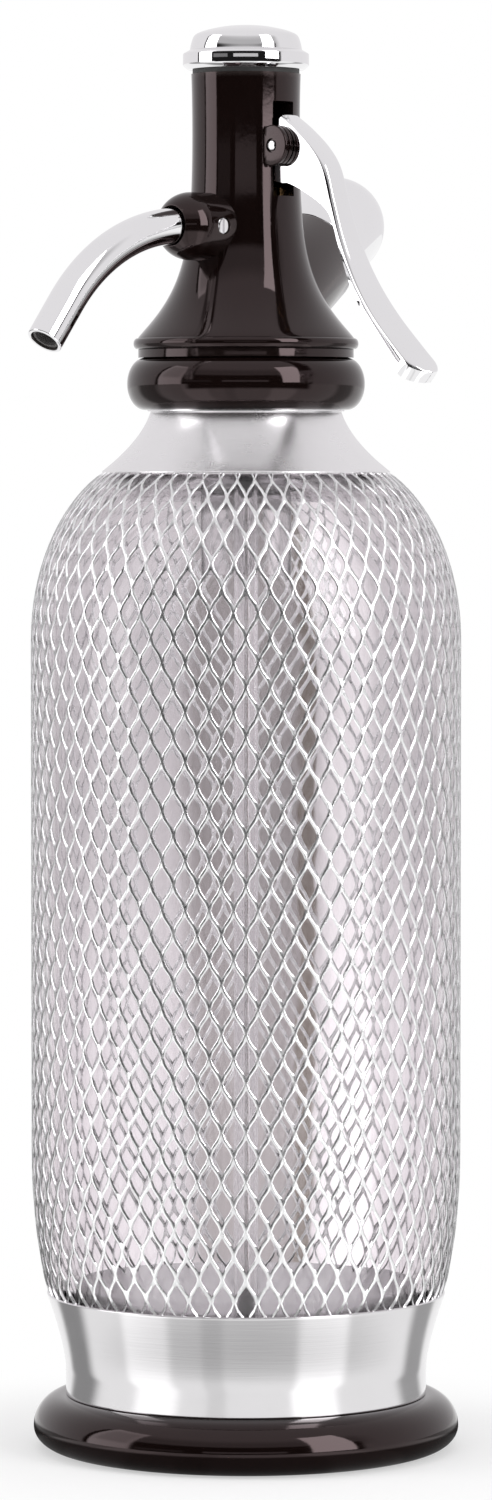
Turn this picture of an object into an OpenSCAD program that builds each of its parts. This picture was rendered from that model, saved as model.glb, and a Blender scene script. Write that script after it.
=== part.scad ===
// Soda siphon, one litre: a mesh-covered glass bottle under a squeeze-lever head with a gas charger.
// Millimetres, +Z up. The origin is the middle of the foot, on the table.
// The nozzle points to -X and the lever to -Y. The charger holder slopes up and away on the far side.

/* [Base] */
// Height of the base ring
foot_h = 13.4; // [12.6:0.2:16]
// How far the base ring bulges beyond its upper edge
foot_bulge = 7; // [5:0.5:7]
// How far the base ring's upper edge stands outside the collar
foot_step = 0.6; // [0.4:0.1:1.2]
// Thickness of the floor that carries the bottle
foot_floor = 6; // [5:0.5:6.5]
// Thickness of the rubber cushion under the bottle
cushion_t = 2; // [1.5:0.5:3]
// Height of the base collar's upper edge
skirt_top = 36.7; // [34:0.1:38]
// Gap between the glass and the base collar's upper edge
skirt_lip = 0.66; // [0.6:0.02:1]
// Gap between the glass and the base collar halfway up its flare
skirt_gap = 0.33; // [0.3:0.01:0.6]
// Sheet thickness of the two aluminium collars
sheet_t = 0.8; // [0.5:0.1:1]

/* [Bottle] */
// Outer radius of the glass
glass_r = 49.2; // [47:0.1:49.4]
// Wall of the glass
glass_wall = 4.5; // [3.5:0.1:5.5]
// Radius of the flat foot of the glass
glass_foot_r = 25.2; // [24:0.1:27]
// Height where the straight side begins
side_low = 70; // [66:1:80]
// Height of the glass shoulder
shoulder_rise = 42.7; // [38:0.1:60]
// How far the top of the shoulder lies below the shoulder collar's upper edge
shoulder_drop = 10.8; // [10:0.1:11.4]
// Radius of the glass neck
neck_r = 17.2; // [16.6:0.1:17.6]
// Radius of the bore of the glass neck
neck_bore_r = 12; // [11.6:0.1:13]
// How far the mouth stands above the shoulder collar
neck_rise = 12.1; // [11:0.1:14]
// Length of the measuring tube below the mouth
measuring_len = 50; // [30:1:60]
// Outer radius of the measuring tube
measuring_r = 10.6; // [9:0.1:11.2]

/* [Mesh] */
// Diamonds round the bottle
mesh_count = 30; // [20:1:36]
// Half rows of diamonds on the straight side
mesh_side_rows = 12; // [6:2:14]
// Half rows on the curve above the base collar
mesh_low_rows = 3; // [2:1:4]
// Half rows on the shoulder
mesh_high_rows = 6; // [4:1:7]
// Width of a strand
strand_w = 1.0; // [0.6:0.1:1.4]
// Height of a strand above the glass side
strand_h = 0.95; // [0.6:0.05:1.1]

/* [Neck and collars] */
// How far the shoulder collar's lower edge stands outside the glass
shoulder_lip = 2.54; // [2.2:0.02:3.4]
// Height of the shoulder collar
shoulder_h = 14.1; // [13:0.1:14.4]
// Height of the shoulder collar's upper edge
shoulder_z = 243.5; // [243:0.1:244]
// Wall of the threaded neck sleeve
sleeve_wall = 2.9; // [2.4:0.1:3.6]
// Width of that sleeve's flange
sleeve_flange = 2.8; // [2:0.1:3.2]
// How far the neck ring bulges
ring_bulge = 4.2; // [3:0.1:4.6]

/* [Head] */
// Height of the head between its lower and upper faces
head_h = 64; // [60:0.5:68]
// How far the head's lower flange lies inside the neck ring's bulge
flange_in = 1.5; // [0.5:0.1:1.8]
// Thickness of the lower flange
flange_t = 2.5; // [2:0.1:3]
// Radius of the head's column
column_r = 12.4; // [12:0.1:13.6]
// How much wider the column is at its top
column_taper = 0.35; // [0:0.05:0.6]
// How far the flange stands out beyond the flare's foot
flange_edge = 1; // [0.8:0.1:2]
// Height over which the flare fades
flare_h = 11.5; // [10.5:0.1:13]
// Radius of the bore under the cap
well_r = 8.5; // [8:0.1:9]
// Depth of that bore
well_depth = 31; // [30:0.1:32]
// Depth of the valve seat below that bore's floor
seat_depth = 10; // [9.6:0.1:10.4]
// Radius of the liquid channel
channel_r = 2; // [1.5:0.1:2.2]
// Radius of the valve chamber
chamber_r = 5; // [4.6:0.1:5.4]

/* [Lever] */
// How far the lever's pin stands outside the column
pivot_out = 1.5; // [1.2:0.1:2]
// How far the lever's pin lies below the head's upper face
pivot_drop = 17.2; // [16.6:0.1:18]
// Radius of the lever's pin
pin_r = 1.2; // [1:0.1:1.4]
// Radius of the round ears that carry the pin
ear_r = 5.2; // [4.6:0.1:5.4]
// Width over the ears
ear_w = 11.4; // [10.6:0.2:13]
// Distance of the lever's tail from its pin, across
lever_reach = 46.1; // [42:0.1:52]
// Distance of the lever's tail from its pin, down
lever_fall = 52.8; // [48:0.1:56]
// Width of the lever where it enters the head
lever_w = 6.2; // [5.8:0.1:6.4]
// Width of the lever's tail
tail_w = 9.5; // [8:0.1:11]
// Sheet thickness of the lever
lever_t = 0.9; // [0.7:0.05:1]
// Radius of the knuckles that lift the valve stem
knuckle_r = 2.2; // [2:0.1:2.6]
// How far the lever's slot reaches below the pin
slot_down = 11.4; // [10.8:0.1:12.2]
// How far the lever's slot reaches above the pin
slot_up = 10.5; // [10.2:0.1:11.2]

/* [Valve] */
// Radius of the valve stem
stem_r = 1.8; // [1.4:0.1:1.8]
// Radius of the flange that the lever lifts
stem_flange_r = 5.2; // [5:0.1:5.6]
// Thickness of that flange
stem_flange_t = 1.2; // [0.8:0.1:1.4]
// Length of stem above its flange
stem_above = 9; // [6:0.5:12]
// Radius of the rubber valve seal
valve_seal_r = 3.9; // [3.4:0.1:4.2]
// Thickness of the rubber valve seal
valve_seal_t = 1.7; // [1.2:0.1:2]
// Thickness of the stem guide
guide_t = 4.5; // [3:0.1:4.8]
// Wire diameter of the valve spring
spring_wire = 0.9; // [0.7:0.05:1]
// Mean radius of the valve spring
spring_r = 4.3; // [3.6:0.1:4.6]
// Turns of the valve spring
spring_turns = 6; // [4:1:7]

/* [Cap] */
// How far the cap's rim overhangs the column
cap_overhang = 2.15; // [1.4:0.05:3]
// Height of the cap's rim
cap_rim_h = 4; // [3:0.1:5]
// Width of the step between the cap's rim and its crown
cap_step = 2; // [1.5:0.1:3]
// Height of the cap above its seal
cap_h = 10.8; // [10:0.1:12]
// Depth of the cap's spigot in the head
spigot_h = 6.5; // [5:0.1:6.6]
// Thickness of the cap seal
cap_seal_t = 1; // [0.8:0.1:1.2]

/* [Nozzle] */
// How far the nozzle's axis lies below the floor of the head's bore
nozzle_drop = 4.8; // [4.4:0.1:5.2]
// Outer radius of the nozzle tube
nozzle_r = 4.2; // [3.8:0.05:4.4]
// Wall of the nozzle tube
nozzle_wall = 0.9; // [0.6:0.05:1]
// Radius of the bend of the nozzle tube
bend_r = 47; // [40:1:55]
// Angle through which the nozzle tube bends
bend_deg = 52.5; // [40:0.5:65]
// Straight length before the outlet
spout_len = 11; // [9:0.5:16]
// Radius of the round boss that holds the tube
boss_r = 7.9; // [7.4:0.1:8.4]
// Distance from the column to the middle of the boss's round end
boss_out = 5.8; // [4.6:0.1:6.6]
// Radius of the boss's mouth round the tube
mouth_r = 4.8; // [4.7:0.05:5.2]
// Radius of the grub screw that holds the tube
screw_r = 1.85; // [1.4:0.05:2]
// Distance of that screw from the middle of the boss's round end
screw_back = 3.3; // [2.4:0.1:4]
// Wall of the plastic liner in the outlet
liner_wall = 0.7; // [0.5:0.05:0.9]

/* [Charger] */
// Direction of the charger holder, anticlockwise from +X
charger_az = 23; // [10:1:30]
// Slope of the charger holder above level
charger_tilt = 24; // [23:0.5:26]
// Height above the head's lower face where the holder's axis crosses the head's axis
charger_rise = 4.9; // [4.6:0.1:5.6]
// Outer radius of the black charger socket
socket_r = 12.2; // [12.1:0.1:12.6]
// Distance along the axis to the socket's end
socket_end = 41.6; // [38:0.1:44]
// Depth of the holder's threaded spigot in the socket
holder_spigot = 12.1; // [9:0.1:13]
// Radius of the chrome charger holder
holder_r = 12; // [11.9:0.1:12.6]
// Length of a gas charger
charger_len = 65.5; // [65:0.1:66]
// Radius of a gas charger
charger_r = 9.3; // [9.1:0.05:9.4]
// Radius of a gas charger's neck
charger_neck_r = 4.4; // [4.1:0.05:4.6]
// Length of a gas charger's neck
charger_neck = 8.8; // [8:0.1:9]
// Distance along the axis to the charger's tip
charger_start = 7.2; // [7.1:0.1:7.8]

/* [Tubes and seals] */
// Outer radius of the siphon tube
siphon_r = 2.85; // [2.5:0.05:3.1]
// Wall of the siphon tube
siphon_wall = 0.85; // [0.6:0.05:0.9]
// Height of the siphon tube's lower end
siphon_low = 20; // [18:1:40]
// Thickness of the gasket on the mouth
gasket_t = 1.4; // [1.2:0.1:1.5]

/* [Clearances] */
// Gap between pieces that move past each other
move_gap = 0.3; // [0.25:0.05:0.35]
// Radial gap of a running fit
run_gap = 0.05; // [0.03:0.01:0.08]
// Gap between pieces that are assembled tight
fit_gap = 0.1; // [0.05:0.01:0.12]
// Gap between the glass and its mesh
mesh_gap = 0.35; // [0.3:0.05:0.45]

/* [Hidden] */
$fn = 96;

black = "#2b2423";
chrome = "#d8dadd";
aluminium = "#cfd2d4";
rubber = "#3a3a3a";
clear_plastic = "#e8eef0";
glass_tint = "#dfeaea";
steel = "#b9bcbf";
brass = "#c8a45a";

// Levels and radii of the bottle
glass_low = foot_floor + cushion_t;
glass_top = shoulder_z - shoulder_drop;
side_high = glass_top - shoulder_rise;
shoulder_in_r = neck_r + 2.8;
shoulder_low = shoulder_z - shoulder_h;
mouth_z = shoulder_z + neck_rise;
arc_steps = 14;

// Outer radius of the glass at height z, below and above its straight side
function glass_foot_at(z) =
    let (t = (side_low - z) / (side_low - glass_low))
    glass_foot_r + (glass_r - glass_foot_r) * sqrt(1 - t * t);
function glass_shoulder_at(z) =
    let (t = (z - side_high) / shoulder_rise)
    shoulder_in_r + (glass_r - shoulder_in_r) * sqrt(1 - t * t);

// The base collar follows the glass, and the base ring with its upstand follows the collar
foot_wall_t = 1.7;
foot_wall_h = 5.6;
flare_z = foot_h + foot_wall_h + 1;
flare_power = 1.4;
half_flare = pow(0.5, flare_power);
skirt_edge_r = glass_foot_at(skirt_top) + skirt_lip + sheet_t;
skirt_r = sheet_t
    + (glass_foot_at((flare_z + skirt_top) / 2) + skirt_gap - (skirt_edge_r - sheet_t) * half_flare)
    / (1 - half_flare);

// The neck's sleeve, ring and flange follow the glass neck, and so does the shoulder collar's upper edge
shoulder_low_r = glass_shoulder_at(shoulder_low) + shoulder_lip;
thread_r = neck_r + fit_gap + sleeve_wall;
thread_flange_r = thread_r + sleeve_flange;
thread_flange_t = 0.8;
shoulder_top_r = thread_flange_r + 1;
ring_edge = 0.3;
ring_recess_r = thread_flange_r + move_gap;
ring_r = ring_recess_r + ring_edge + ring_bulge;
flange_r = ring_r - flange_in;

// The head stands on the gasket, which lies on the measuring tube's flange with a little room
measuring_flange_t = 0.7;
head_z = mouth_z + measuring_flange_t + gasket_t + move_gap;
ring_low = shoulder_z + move_gap;
ring_top = head_z - 2;

// Levels and places in the head
head_top = head_z + head_h;
well_z = head_top - well_depth;
seat_z = well_z - seat_depth;
nozzle_z = well_z - nozzle_drop;
pivot_z = head_top - pivot_drop;
slot_low = pivot_z - slot_down;
slot_high = pivot_z + slot_up;
charger_z = head_z + charger_rise;
pivot_u = column_r + pivot_out;
boss_u = column_r + boss_out;
screw_u = boss_u - screw_back;

// Points of part of an ellipse round [r, z], from angle a0 to a1
function ellipse_arc(centre, a, b, a0, a1, steps = arc_steps) =
    [for (i = [0:steps])
        let (t = a0 + (a1 - a0) * i / steps)
        [centre[0] + a * cos(t), centre[1] + b * sin(t)]];

// A smooth curve through the given points
function curve(p, steps = 4) =
    concat([for (i = [0:len(p) - 2]) for (k = [0:steps - 1]) curve_at(p, i, k / steps)], [p[len(p) - 1]]);
function curve_at(p, i, t) =
    let (a = p[max(i - 1, 0)], b = p[i], c = p[i + 1], d = p[min(i + 2, len(p) - 1)])
    0.5 * (2 * b + (c - a) * t + (2 * a - 5 * b + 4 * c - d) * t * t
        + (3 * b - a - 3 * c + d) * t * t * t);

// The same curve moved sideways by d, to its right when d is positive
function beside(p, d) =
    [for (i = [0:len(p) - 1])
        let (v = p[min(i + 1, len(p) - 1)] - p[max(i - 1, 0)])
        p[i] + d * [v[1], -v[0]] / norm(v)];

// A ring with the given inner and outer radius from z to z + h
module ring(r_in, r_out, z, h) {
    translate([0, 0, z])
        difference() {
            cylinder(r = r_out, h = h);
            translate([0, 0, -1]) cylinder(r = r_in, h = h + 2);
        }
}

// ---- Base ----

module base_ring() {
    wall_out = skirt_r - sheet_t - move_gap;
    wall_in = wall_out - foot_wall_t;
    wall_top = foot_h + foot_wall_h;
    mid_z = foot_h * 0.45;
    edge_r = skirt_r + foot_step;
    groove_in = glass_foot_r - 3.2;
    groove_out = edge_r - 5;
    color(black)
        difference() {
            rotate_extrude()
                polygon(concat(
                    [[0, 0]],
                    ellipse_arc([edge_r, mid_z], foot_bulge, mid_z, -90, 0),
                    ellipse_arc([edge_r, mid_z], foot_bulge, foot_h - mid_z, 0, 90),
                    [[wall_out, foot_h], [wall_out, wall_top], [wall_in, wall_top],
                     [wall_in, foot_floor], [0, foot_floor]]
                ));
            // shallow groove under the floor, between the middle pad and the rim
            ring(groove_in, groove_out, -1, 2.5);
        }
}

module bottle_cushion() {
    color(rubber)
        translate([0, 0, foot_floor]) cylinder(r = glass_foot_r - 0.2, h = cushion_t - fit_gap);
}

// Outer radius of the base collar at height z
function skirt_at(z) =
    skirt_r + (skirt_edge_r - skirt_r) * pow(max(z - flare_z, 0) / (skirt_top - flare_z), flare_power);

module base_collar() {
    levels = [for (i = [0:arc_steps]) foot_h + fit_gap + (skirt_top - foot_h - fit_gap) * i / arc_steps];
    color(aluminium)
        rotate_extrude()
            polygon(concat(
                [for (z = levels) [skirt_at(z), z]],
                [for (i = [arc_steps:-1:0]) [skirt_at(levels[i]) - sheet_t, levels[i]]]
            ));
}

// ---- Bottle ----

// Outline of the glass from the middle of its foot to its mouth, drawn in by the wall w
function glass_low_arc(w) =
    let (foot = glass_foot_r - w * 0.7, low = glass_low + w * 1.1)
    ellipse_arc([foot, side_low], glass_r - w - foot, side_low - low, -90, 0);
function shoulder_arc(w, top) =
    let (r0 = shoulder_in_r - w * 0.67)
    ellipse_arc([r0, side_high], glass_r - w - r0, top - side_high, 0, 90);

module glass_bottle() {
    inner_top = glass_top - glass_wall * 0.93;
    color(glass_tint, 0.45)
        rotate_extrude()
            difference() {
                polygon(concat(
                    [[0, glass_low]],
                    glass_low_arc(0),
                    shoulder_arc(0, glass_top),
                    [[neck_r + 1.2, glass_top + 1.3], [neck_r, glass_top + 3.8],
                     [neck_r, mouth_z], [0, mouth_z]]
                ));
                polygon(concat(
                    [[0, glass_low + glass_wall * 1.1]],
                    glass_low_arc(glass_wall),
                    shoulder_arc(glass_wall, inner_top),
                    [[neck_bore_r + 1, inner_top + 2.5], [neck_bore_r, inner_top + 5.5],
                     [neck_bore_r, mouth_z + 1], [0, mouth_z + 1]]
                ));
            }
}

// The mesh is one net of diamonds over the glass. Each strand has a ridge outside and a flat back.
// A knot of the net has five points: four round its flat back and one on its ridge.
mesh_rows = mesh_low_rows + mesh_side_rows + mesh_high_rows;
mesh_low_z = skirt_top + 1.1;
mesh_top_z = shoulder_low - 1;
// On the shoulder the straight strands need this much more room to clear the curve of the glass
mesh_lift = 0.3;
mesh_back_r = glass_r + mesh_gap;
mesh_crown_h = glass_top + mesh_gap + mesh_lift - side_high;

// [radius, height] of the back of the net at row j, and the slope of its face
function on_low(a) =
    [glass_foot_r + (mesh_back_r - glass_foot_r) * cos(a), side_low + (side_low - glass_low) * sin(a)];
function on_high(a) =
    [shoulder_in_r + (mesh_back_r - shoulder_in_r) * cos(a), side_high + mesh_crown_h * sin(a)];
mesh_low_a = asin((mesh_low_z - side_low) / (side_low - glass_low));
mesh_high_a = asin((mesh_top_z - side_high) / mesh_crown_h);
function mesh_at(j) =
    j < mesh_low_rows ? on_low(mesh_low_a * (1 - j / mesh_low_rows))
    : j <= mesh_low_rows + mesh_side_rows
        ? [mesh_back_r, side_low + (side_high - side_low) * (j - mesh_low_rows) / mesh_side_rows]
    : on_high(mesh_high_a * (j - mesh_low_rows - mesh_side_rows) / mesh_high_rows);
function mesh_up(j) =
    let (d = mesh_at(min(j + 1, mesh_rows)) - mesh_at(max(j - 1, 0)))
    d / norm(d);

// A point of the net at row j and angle a, moved along the row by s, up the face by t and out by h
function mesh_point(j, a, s, t, h) =
    let (p = mesh_at(j), up = mesh_up(j), r = p[0] + up[0] * t + up[1] * h)
    [r * cos(a) - s * sin(a), r * sin(a) + s * cos(a), p[1] + up[1] * t - up[0] * h];

function knot(i, j) =
    let (
        a = 360 * (i + (j % 2) / 2) / mesh_count,
        pitch = PI * mesh_at(j)[0] / mesh_count,
        rows_apart = min(j + 1, mesh_rows) - max(j - 1, 0),
        rise = norm(mesh_at(min(j + 1, mesh_rows)) - mesh_at(max(j - 1, 0))) / rows_apart,
        lean = atan2(pitch, rise),
        half = strand_w / 2
    )
    [mesh_point(j, a, half / cos(lean), 0, 0), mesh_point(j, a, 0, half / sin(lean), 0),
     mesh_point(j, a, -half / cos(lean), 0, 0), mesh_point(j, a, 0, -half / sin(lean), 0),
     mesh_point(j, a, 0, 0, strand_h)];

// Numbers of a knot's points: 0 right, 1 top, 2 left, 3 bottom, 4 ridge
function at_knot(i, j, n) = 5 * (j * mesh_count + (i + mesh_count) % mesh_count) + n;

// Faces of the strand that runs from knot a up to knot b; side is 0 to the right and 2 to the left
function strand_faces(a, b, side) =
    let (
        near = [a[1], a[side], a[4]],
        far = [b[2 - side], b[3], b[4]],
        f = [
            [near[0], near[2], far[2]], [near[0], far[2], far[0]],
            [near[1], far[2], near[2]], [near[1], far[1], far[2]],
            [near[0], far[0], far[1]], [near[0], far[1], near[1]]
        ]
    )
    side == 2 ? f : [for (t = f) [t[0], t[2], t[1]]];

function knot_ids(i, j) = [for (n = [0:4]) at_knot(i, j, n)];

module mesh_sleeve() {
    points = [for (j = [0:mesh_rows]) for (i = [0:mesh_count - 1]) each knot(i, j)];
    strands = [for (j = [0:mesh_rows - 1]) for (i = [0:mesh_count - 1])
        let (
            a = knot_ids(i, j),
            right = knot_ids(i + (j % 2), j + 1),
            left = knot_ids(i + (j % 2) - 1, j + 1)
        )
        each concat(strand_faces(a, right, 0), strand_faces(a, left, 2))];
    backs = [for (j = [0:mesh_rows]) for (i = [0:mesh_count - 1])
        let (k = knot_ids(i, j))
        each [[k[0], k[1], k[2]], [k[0], k[2], k[3]]]];
    low_ends = [for (i = [0:mesh_count - 1])
        let (k = knot_ids(i, 0))
        each [[k[3], k[2], k[4]], [k[0], k[3], k[4]]]];
    high_ends = [for (i = [0:mesh_count - 1])
        let (k = knot_ids(i, mesh_rows))
        each [[k[2], k[1], k[4]], [k[1], k[0], k[4]]]];
    color(aluminium)
        polyhedron(points = points, faces = concat(strands, backs, low_ends, high_ends), convexity = 8);
}

module shoulder_collar() {
    lip_r = neck_r + fit_gap + 0.3;
    rise = [for (i = [0:arc_steps]) i / arc_steps];
    function collar_r(t) = shoulder_top_r + (shoulder_low_r - shoulder_top_r) * pow(1 - t, 1.8);
    color(aluminium)
        rotate_extrude()
            polygon(concat(
                [for (t = rise) [collar_r(t), shoulder_low + shoulder_h * t]],
                [[lip_r, shoulder_z], [lip_r, shoulder_z - sheet_t]],
                [for (i = [arc_steps - 1:-1:0])
                    let (drop = i == 0 ? 0 : sheet_t / 2)
                    [collar_r(rise[i]) - sheet_t, shoulder_low + shoulder_h * rise[i] - drop]]
            ));
}

// The threaded sleeve is crimped on the glass neck, and its flange holds the shoulder collar down
module neck_sleeve() {
    color(steel)
        difference() {
            union() {
                translate([0, 0, shoulder_z]) cylinder(r = thread_r, h = mouth_z - 0.6 - shoulder_z);
                translate([0, 0, shoulder_z]) cylinder(r = thread_flange_r, h = thread_flange_t);
            }
            translate([0, 0, shoulder_z - 1]) cylinder(r = neck_r + fit_gap, h = neck_rise + 2);
        }
}

module measuring_tube() {
    wall = 0.8;
    color(clear_plastic, 0.6)
        union() {
            ring(measuring_r - wall, neck_bore_r + 3.5, mouth_z, measuring_flange_t);
            ring(measuring_r - wall, measuring_r, mouth_z - measuring_len,
                measuring_len + measuring_flange_t);
        }
}

// ---- Head: ring, seals and tubes ----

module neck_ring() {
    centre = [ring_r - ring_bulge, (ring_low + ring_top) / 2];
    band_r = flange_r - 1.1;
    bore = thread_r + move_gap;
    recess_top = shoulder_z + thread_flange_t + move_gap;
    color(black)
        rotate_extrude()
            polygon(concat(
                [[ring_recess_r, ring_low]],
                ellipse_arc(centre, ring_bulge, (ring_top - ring_low) / 2, -90, 90),
                [[band_r, ring_top], [band_r, head_z], [bore, head_z],
                 [bore, recess_top], [ring_recess_r, recess_top]]
            ));
}

module head_gasket() {
    color(rubber) ring(neck_bore_r + 0.5, thread_r - 0.2, head_z - gasket_t, gasket_t);
}

holder_plug_r = 4.75;
holder_plug_h = 2.8;

module tube_holder() {
    color(clear_plastic)
        difference() {
            union() {
                translate([0, 0, head_z]) cylinder(r = holder_plug_r, h = holder_plug_h);
                translate([0, 0, head_z - 1.2]) cylinder(r = 6.4, h = 1.2);
                translate([0, 0, head_z - 8]) cylinder(r = siphon_r + 1.35, h = 8);
            }
            translate([0, 0, head_z - 9]) cylinder(r = siphon_r + run_gap, h = 10.6);
            cylinder(r = channel_r, h = head_z + 10);
        }
}

module siphon_tube() {
    color(clear_plastic) ring(siphon_r - siphon_wall, siphon_r, siphon_low, head_z + 1.6 - siphon_low);
}

// ---- Head: the moulded body ----

// Outer radius of the head at height z: a column that widens a little upwards, with a foot that flares out
flare_w = flange_r - flange_edge - column_r;
function head_at(z) =
    column_r + flare_w * exp(-pow((z - head_z - flange_t) / flare_h, 1.15))
    + column_taper * pow((z - head_z) / head_h, 6);

// Places its children with +Z along the charger's axis, away from the head
module along_charger() {
    translate([0, 0, charger_z])
        rotate([0, 90 - charger_tilt, charger_az])
            children();
}

// Places its children with +Z along the nozzle's axis, away from the head
module along_nozzle() {
    translate([0, 0, nozzle_z]) rotate([0, -90, 0]) children();
}

// Places its children with +Z along the lever's pin, centred on the head's middle plane
module at_pivot() {
    translate([0, -pivot_u, pivot_z]) rotate([0, 90, 0]) children();
}

slot_w = lever_w + 0.5;
thread_bore_r = socket_r - 1;
charger_cavity_r = charger_r + 0.6;
pocket_s = charger_start - 1.1;
gas_duct_u = 8.8;
// The nozzle tube stops here in the head, on a turned-down end that steps in by spigot_step
tube_start = 9.2;
spigot_step = 0.2;
boss_end = boss_u + sqrt(boss_r * boss_r - mouth_r * mouth_r);
bend_start = boss_end - 3.9;

module head_shell() {
    steps = 24;
    rise = head_top - head_z - flange_t;
    edge = flange_t / 2;
    rotate_extrude()
        polygon(concat(
            [[0, head_z], [flange_r - 0.8, head_z]],
            ellipse_arc([flange_r - 0.8, head_z + edge], 0.8, edge, -90, 90, 8),
            [for (i = [0:steps])
                let (z = head_z + flange_t + rise * pow(i / steps, 1.7)) [head_at(z), z]],
            [[0, head_top]]
        ));
}

module charger_socket() {
    reach = socket_end + socket_r;
    intersection() {
        along_charger()
            rotate_extrude()
                polygon([[0, column_r], [socket_r, column_r], [socket_r, socket_end - 0.8],
                    [socket_r - 0.8, socket_end], [0, socket_end]]);
        translate([-reach, -reach, head_z]) cube([reach * 2, reach * 2, head_h]);
    }
}

module nozzle_boss() {
    along_nozzle()
        rotate_extrude()
            polygon(concat(
                [[0, 0], [boss_r, 0]],
                [for (i = [0:arc_steps])
                    let (a = acos(mouth_r / boss_r) * i / arc_steps)
                    [boss_r * cos(a), boss_u + boss_r * sin(a)]],
                [[0, boss_end]]
            ));
}

// One ear each side of the slot, with a groove round its rim
module lever_ears() {
    at_pivot()
        union() {
            cylinder(r = ear_r - 0.5, h = ear_w, center = true);
            for (side = [-1, 1]) {
                translate([0, 0, side * (ear_w / 2 - 0.45)]) cylinder(r = ear_r, h = 0.9, center = true);
                translate([0, 0, side * (slot_w / 2 + 0.4)]) cylinder(r = ear_r, h = 0.8, center = true);
            }
        }
}

module head_body() {
    color(black)
        difference() {
            union() {
                head_shell();
                charger_socket();
                nozzle_boss();
                lever_ears();
            }
            // liquid channel, raised valve seat and valve chamber
            translate([0, 0, head_z - 1]) cylinder(r = channel_r, h = seat_z + 1 - head_z + 1);
            difference() {
                translate([0, 0, seat_z - 1]) cylinder(r = chamber_r, h = well_z - seat_z + 2);
                translate([0, 0, seat_z - 2]) cylinder(r = channel_r + 1.2, h = 2);
            }
            translate([0, 0, well_z - 1.4]) cylinder(r = chamber_r + 0.6, h = 2);
            translate([0, 0, well_z]) cylinder(r = well_r, h = head_top - well_z + 1);
            translate([0, 0, head_z - 1]) cylinder(r = holder_plug_r + run_gap, h = holder_plug_h + 1);
            // slot and pin holes for the lever
            translate([-slot_w / 2, -pivot_u * 2, slot_low])
                cube([slot_w, pivot_u * 2, slot_high - slot_low]);
            at_pivot() cylinder(r = pin_r + 0.02, h = ear_w + 2, center = true);
            for (side = [-1, 1])
                at_pivot()
                    translate([0, 0, side * ear_w / 2]) cylinder(r = pin_r + 0.35, h = 0.8, center = true);
            // port and socket for the nozzle
            along_nozzle() cylinder(r = 2.8, h = tube_start);
            along_nozzle()
                translate([0, 0, tube_start - 1.6])
                    cylinder(r = nozzle_r - spigot_step + run_gap, h = boss_end);
            along_nozzle() translate([0, 0, bend_start]) cylinder(r = mouth_r - 0.1, h = boss_end);
            translate([-screw_u, 0, nozzle_z])
                rotate([90, 0, 0]) cylinder(r = screw_r + run_gap, h = boss_r + 5);
            // stepped cavity for the charger, its pierced neck and its thread
            along_charger()
                rotate_extrude()
                    polygon([[0, pocket_s - 0.8], [3.1, pocket_s - 0.8], [3.1, pocket_s],
                        [charger_neck_r + 0.6, pocket_s],
                        [charger_neck_r + 0.6, charger_start + charger_neck - 0.6],
                        [charger_cavity_r, charger_start + charger_neck + 5.4],
                        [charger_cavity_r, socket_end - holder_spigot - 1.5],
                        [thread_bore_r, socket_end - holder_spigot - 1.5],
                        [thread_bore_r, socket_end + 1], [0, socket_end + 1]]);
            // gas duct down to the bottle, with the seat of its rubber valve
            rotate([0, 0, charger_az])
                translate([gas_duct_u, 0, head_z - 1]) {
                    cylinder(r = 0.8, h = 5.4);
                    cylinder(r = 1.8, h = 2.4);
                }
        }
}

module gas_valve() {
    color(rubber)
        rotate([0, 0, charger_az])
            translate([gas_duct_u, 0, 0])
                rotate_extrude()
                    polygon([[0.5, head_z - 1.1], [0.9, head_z - 1.1], [1.7, head_z], [1.7, head_z + 1.4],
                        [0.5, head_z + 1.4]]);
}

module piercing_pin() {
    color(steel)
        along_charger()
            rotate_extrude()
                polygon([[0, pocket_s - 0.8], [3, pocket_s - 0.8], [3, pocket_s], [0.7, pocket_s],
                    [0.7, charger_start + 2.3], [0, charger_start + 3.3]]);
}

module charger_seal() {
    color(rubber)
        along_charger() ring(1, charger_neck_r + 0.2, pocket_s, charger_start - pocket_s - 0.2);
}

// ---- Nozzle ----

// Places its children with +Z along the nozzle's straight end, from where the bend stops
module at_spout() {
    translate([-bend_start, 0, nozzle_z - bend_r])
        rotate([0, -bend_deg, 0])
            translate([0, 0, bend_r]) rotate([0, -90, 0]) children();
}

module nozzle_tube() {
    bore = nozzle_r - nozzle_wall;
    lap = 0.3;
    color(chrome)
        union() {
            at_spout() {
                ring(bore, nozzle_r, 0, spout_len);
                translate([-bend_r, 0, 0])
                    rotate([-90, 0, 0])
                        rotate_extrude(angle = bend_deg)
                            translate([bend_r, 0])
                                difference() {
                                    circle(r = nozzle_r);
                                    circle(r = bore);
                                }
            }
            along_nozzle()
                ring(bore - spigot_step / 2, nozzle_r - spigot_step, tube_start,
                    bend_start - tube_start + lap);
        }
}

module nozzle_liner() {
    bore = nozzle_r - nozzle_wall - 0.02;
    color(clear_plastic)
        at_spout() ring(bore - liner_wall, bore, 0.6, spout_len - 1.2);
}

module nozzle_screw() {
    color(chrome)
        translate([-screw_u, 0, nozzle_z])
            rotate([90, 0, 0])
                difference() {
                    translate([0, 0, nozzle_r - spigot_step + run_gap])
                        cylinder(r = screw_r, h = boss_r - nozzle_r + spigot_step - 0.4);
                    translate([-0.3, -3, boss_r - 0.8]) cube([0.6, 6, 1]);
                }
}

module nozzle_seal() {
    color(rubber)
        along_nozzle() ring(2.8, nozzle_r - spigot_step, tube_start - 1.55, 1.5);
}

// ---- Lever and its pin ----

// Points of the lever's side view, as shares of its reach and fall from the pin to the tail
function from_pin(shares) =
    [for (p = shares) [pivot_u + p[0] * lever_reach, pivot_z - p[1] * lever_fall]];

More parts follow.
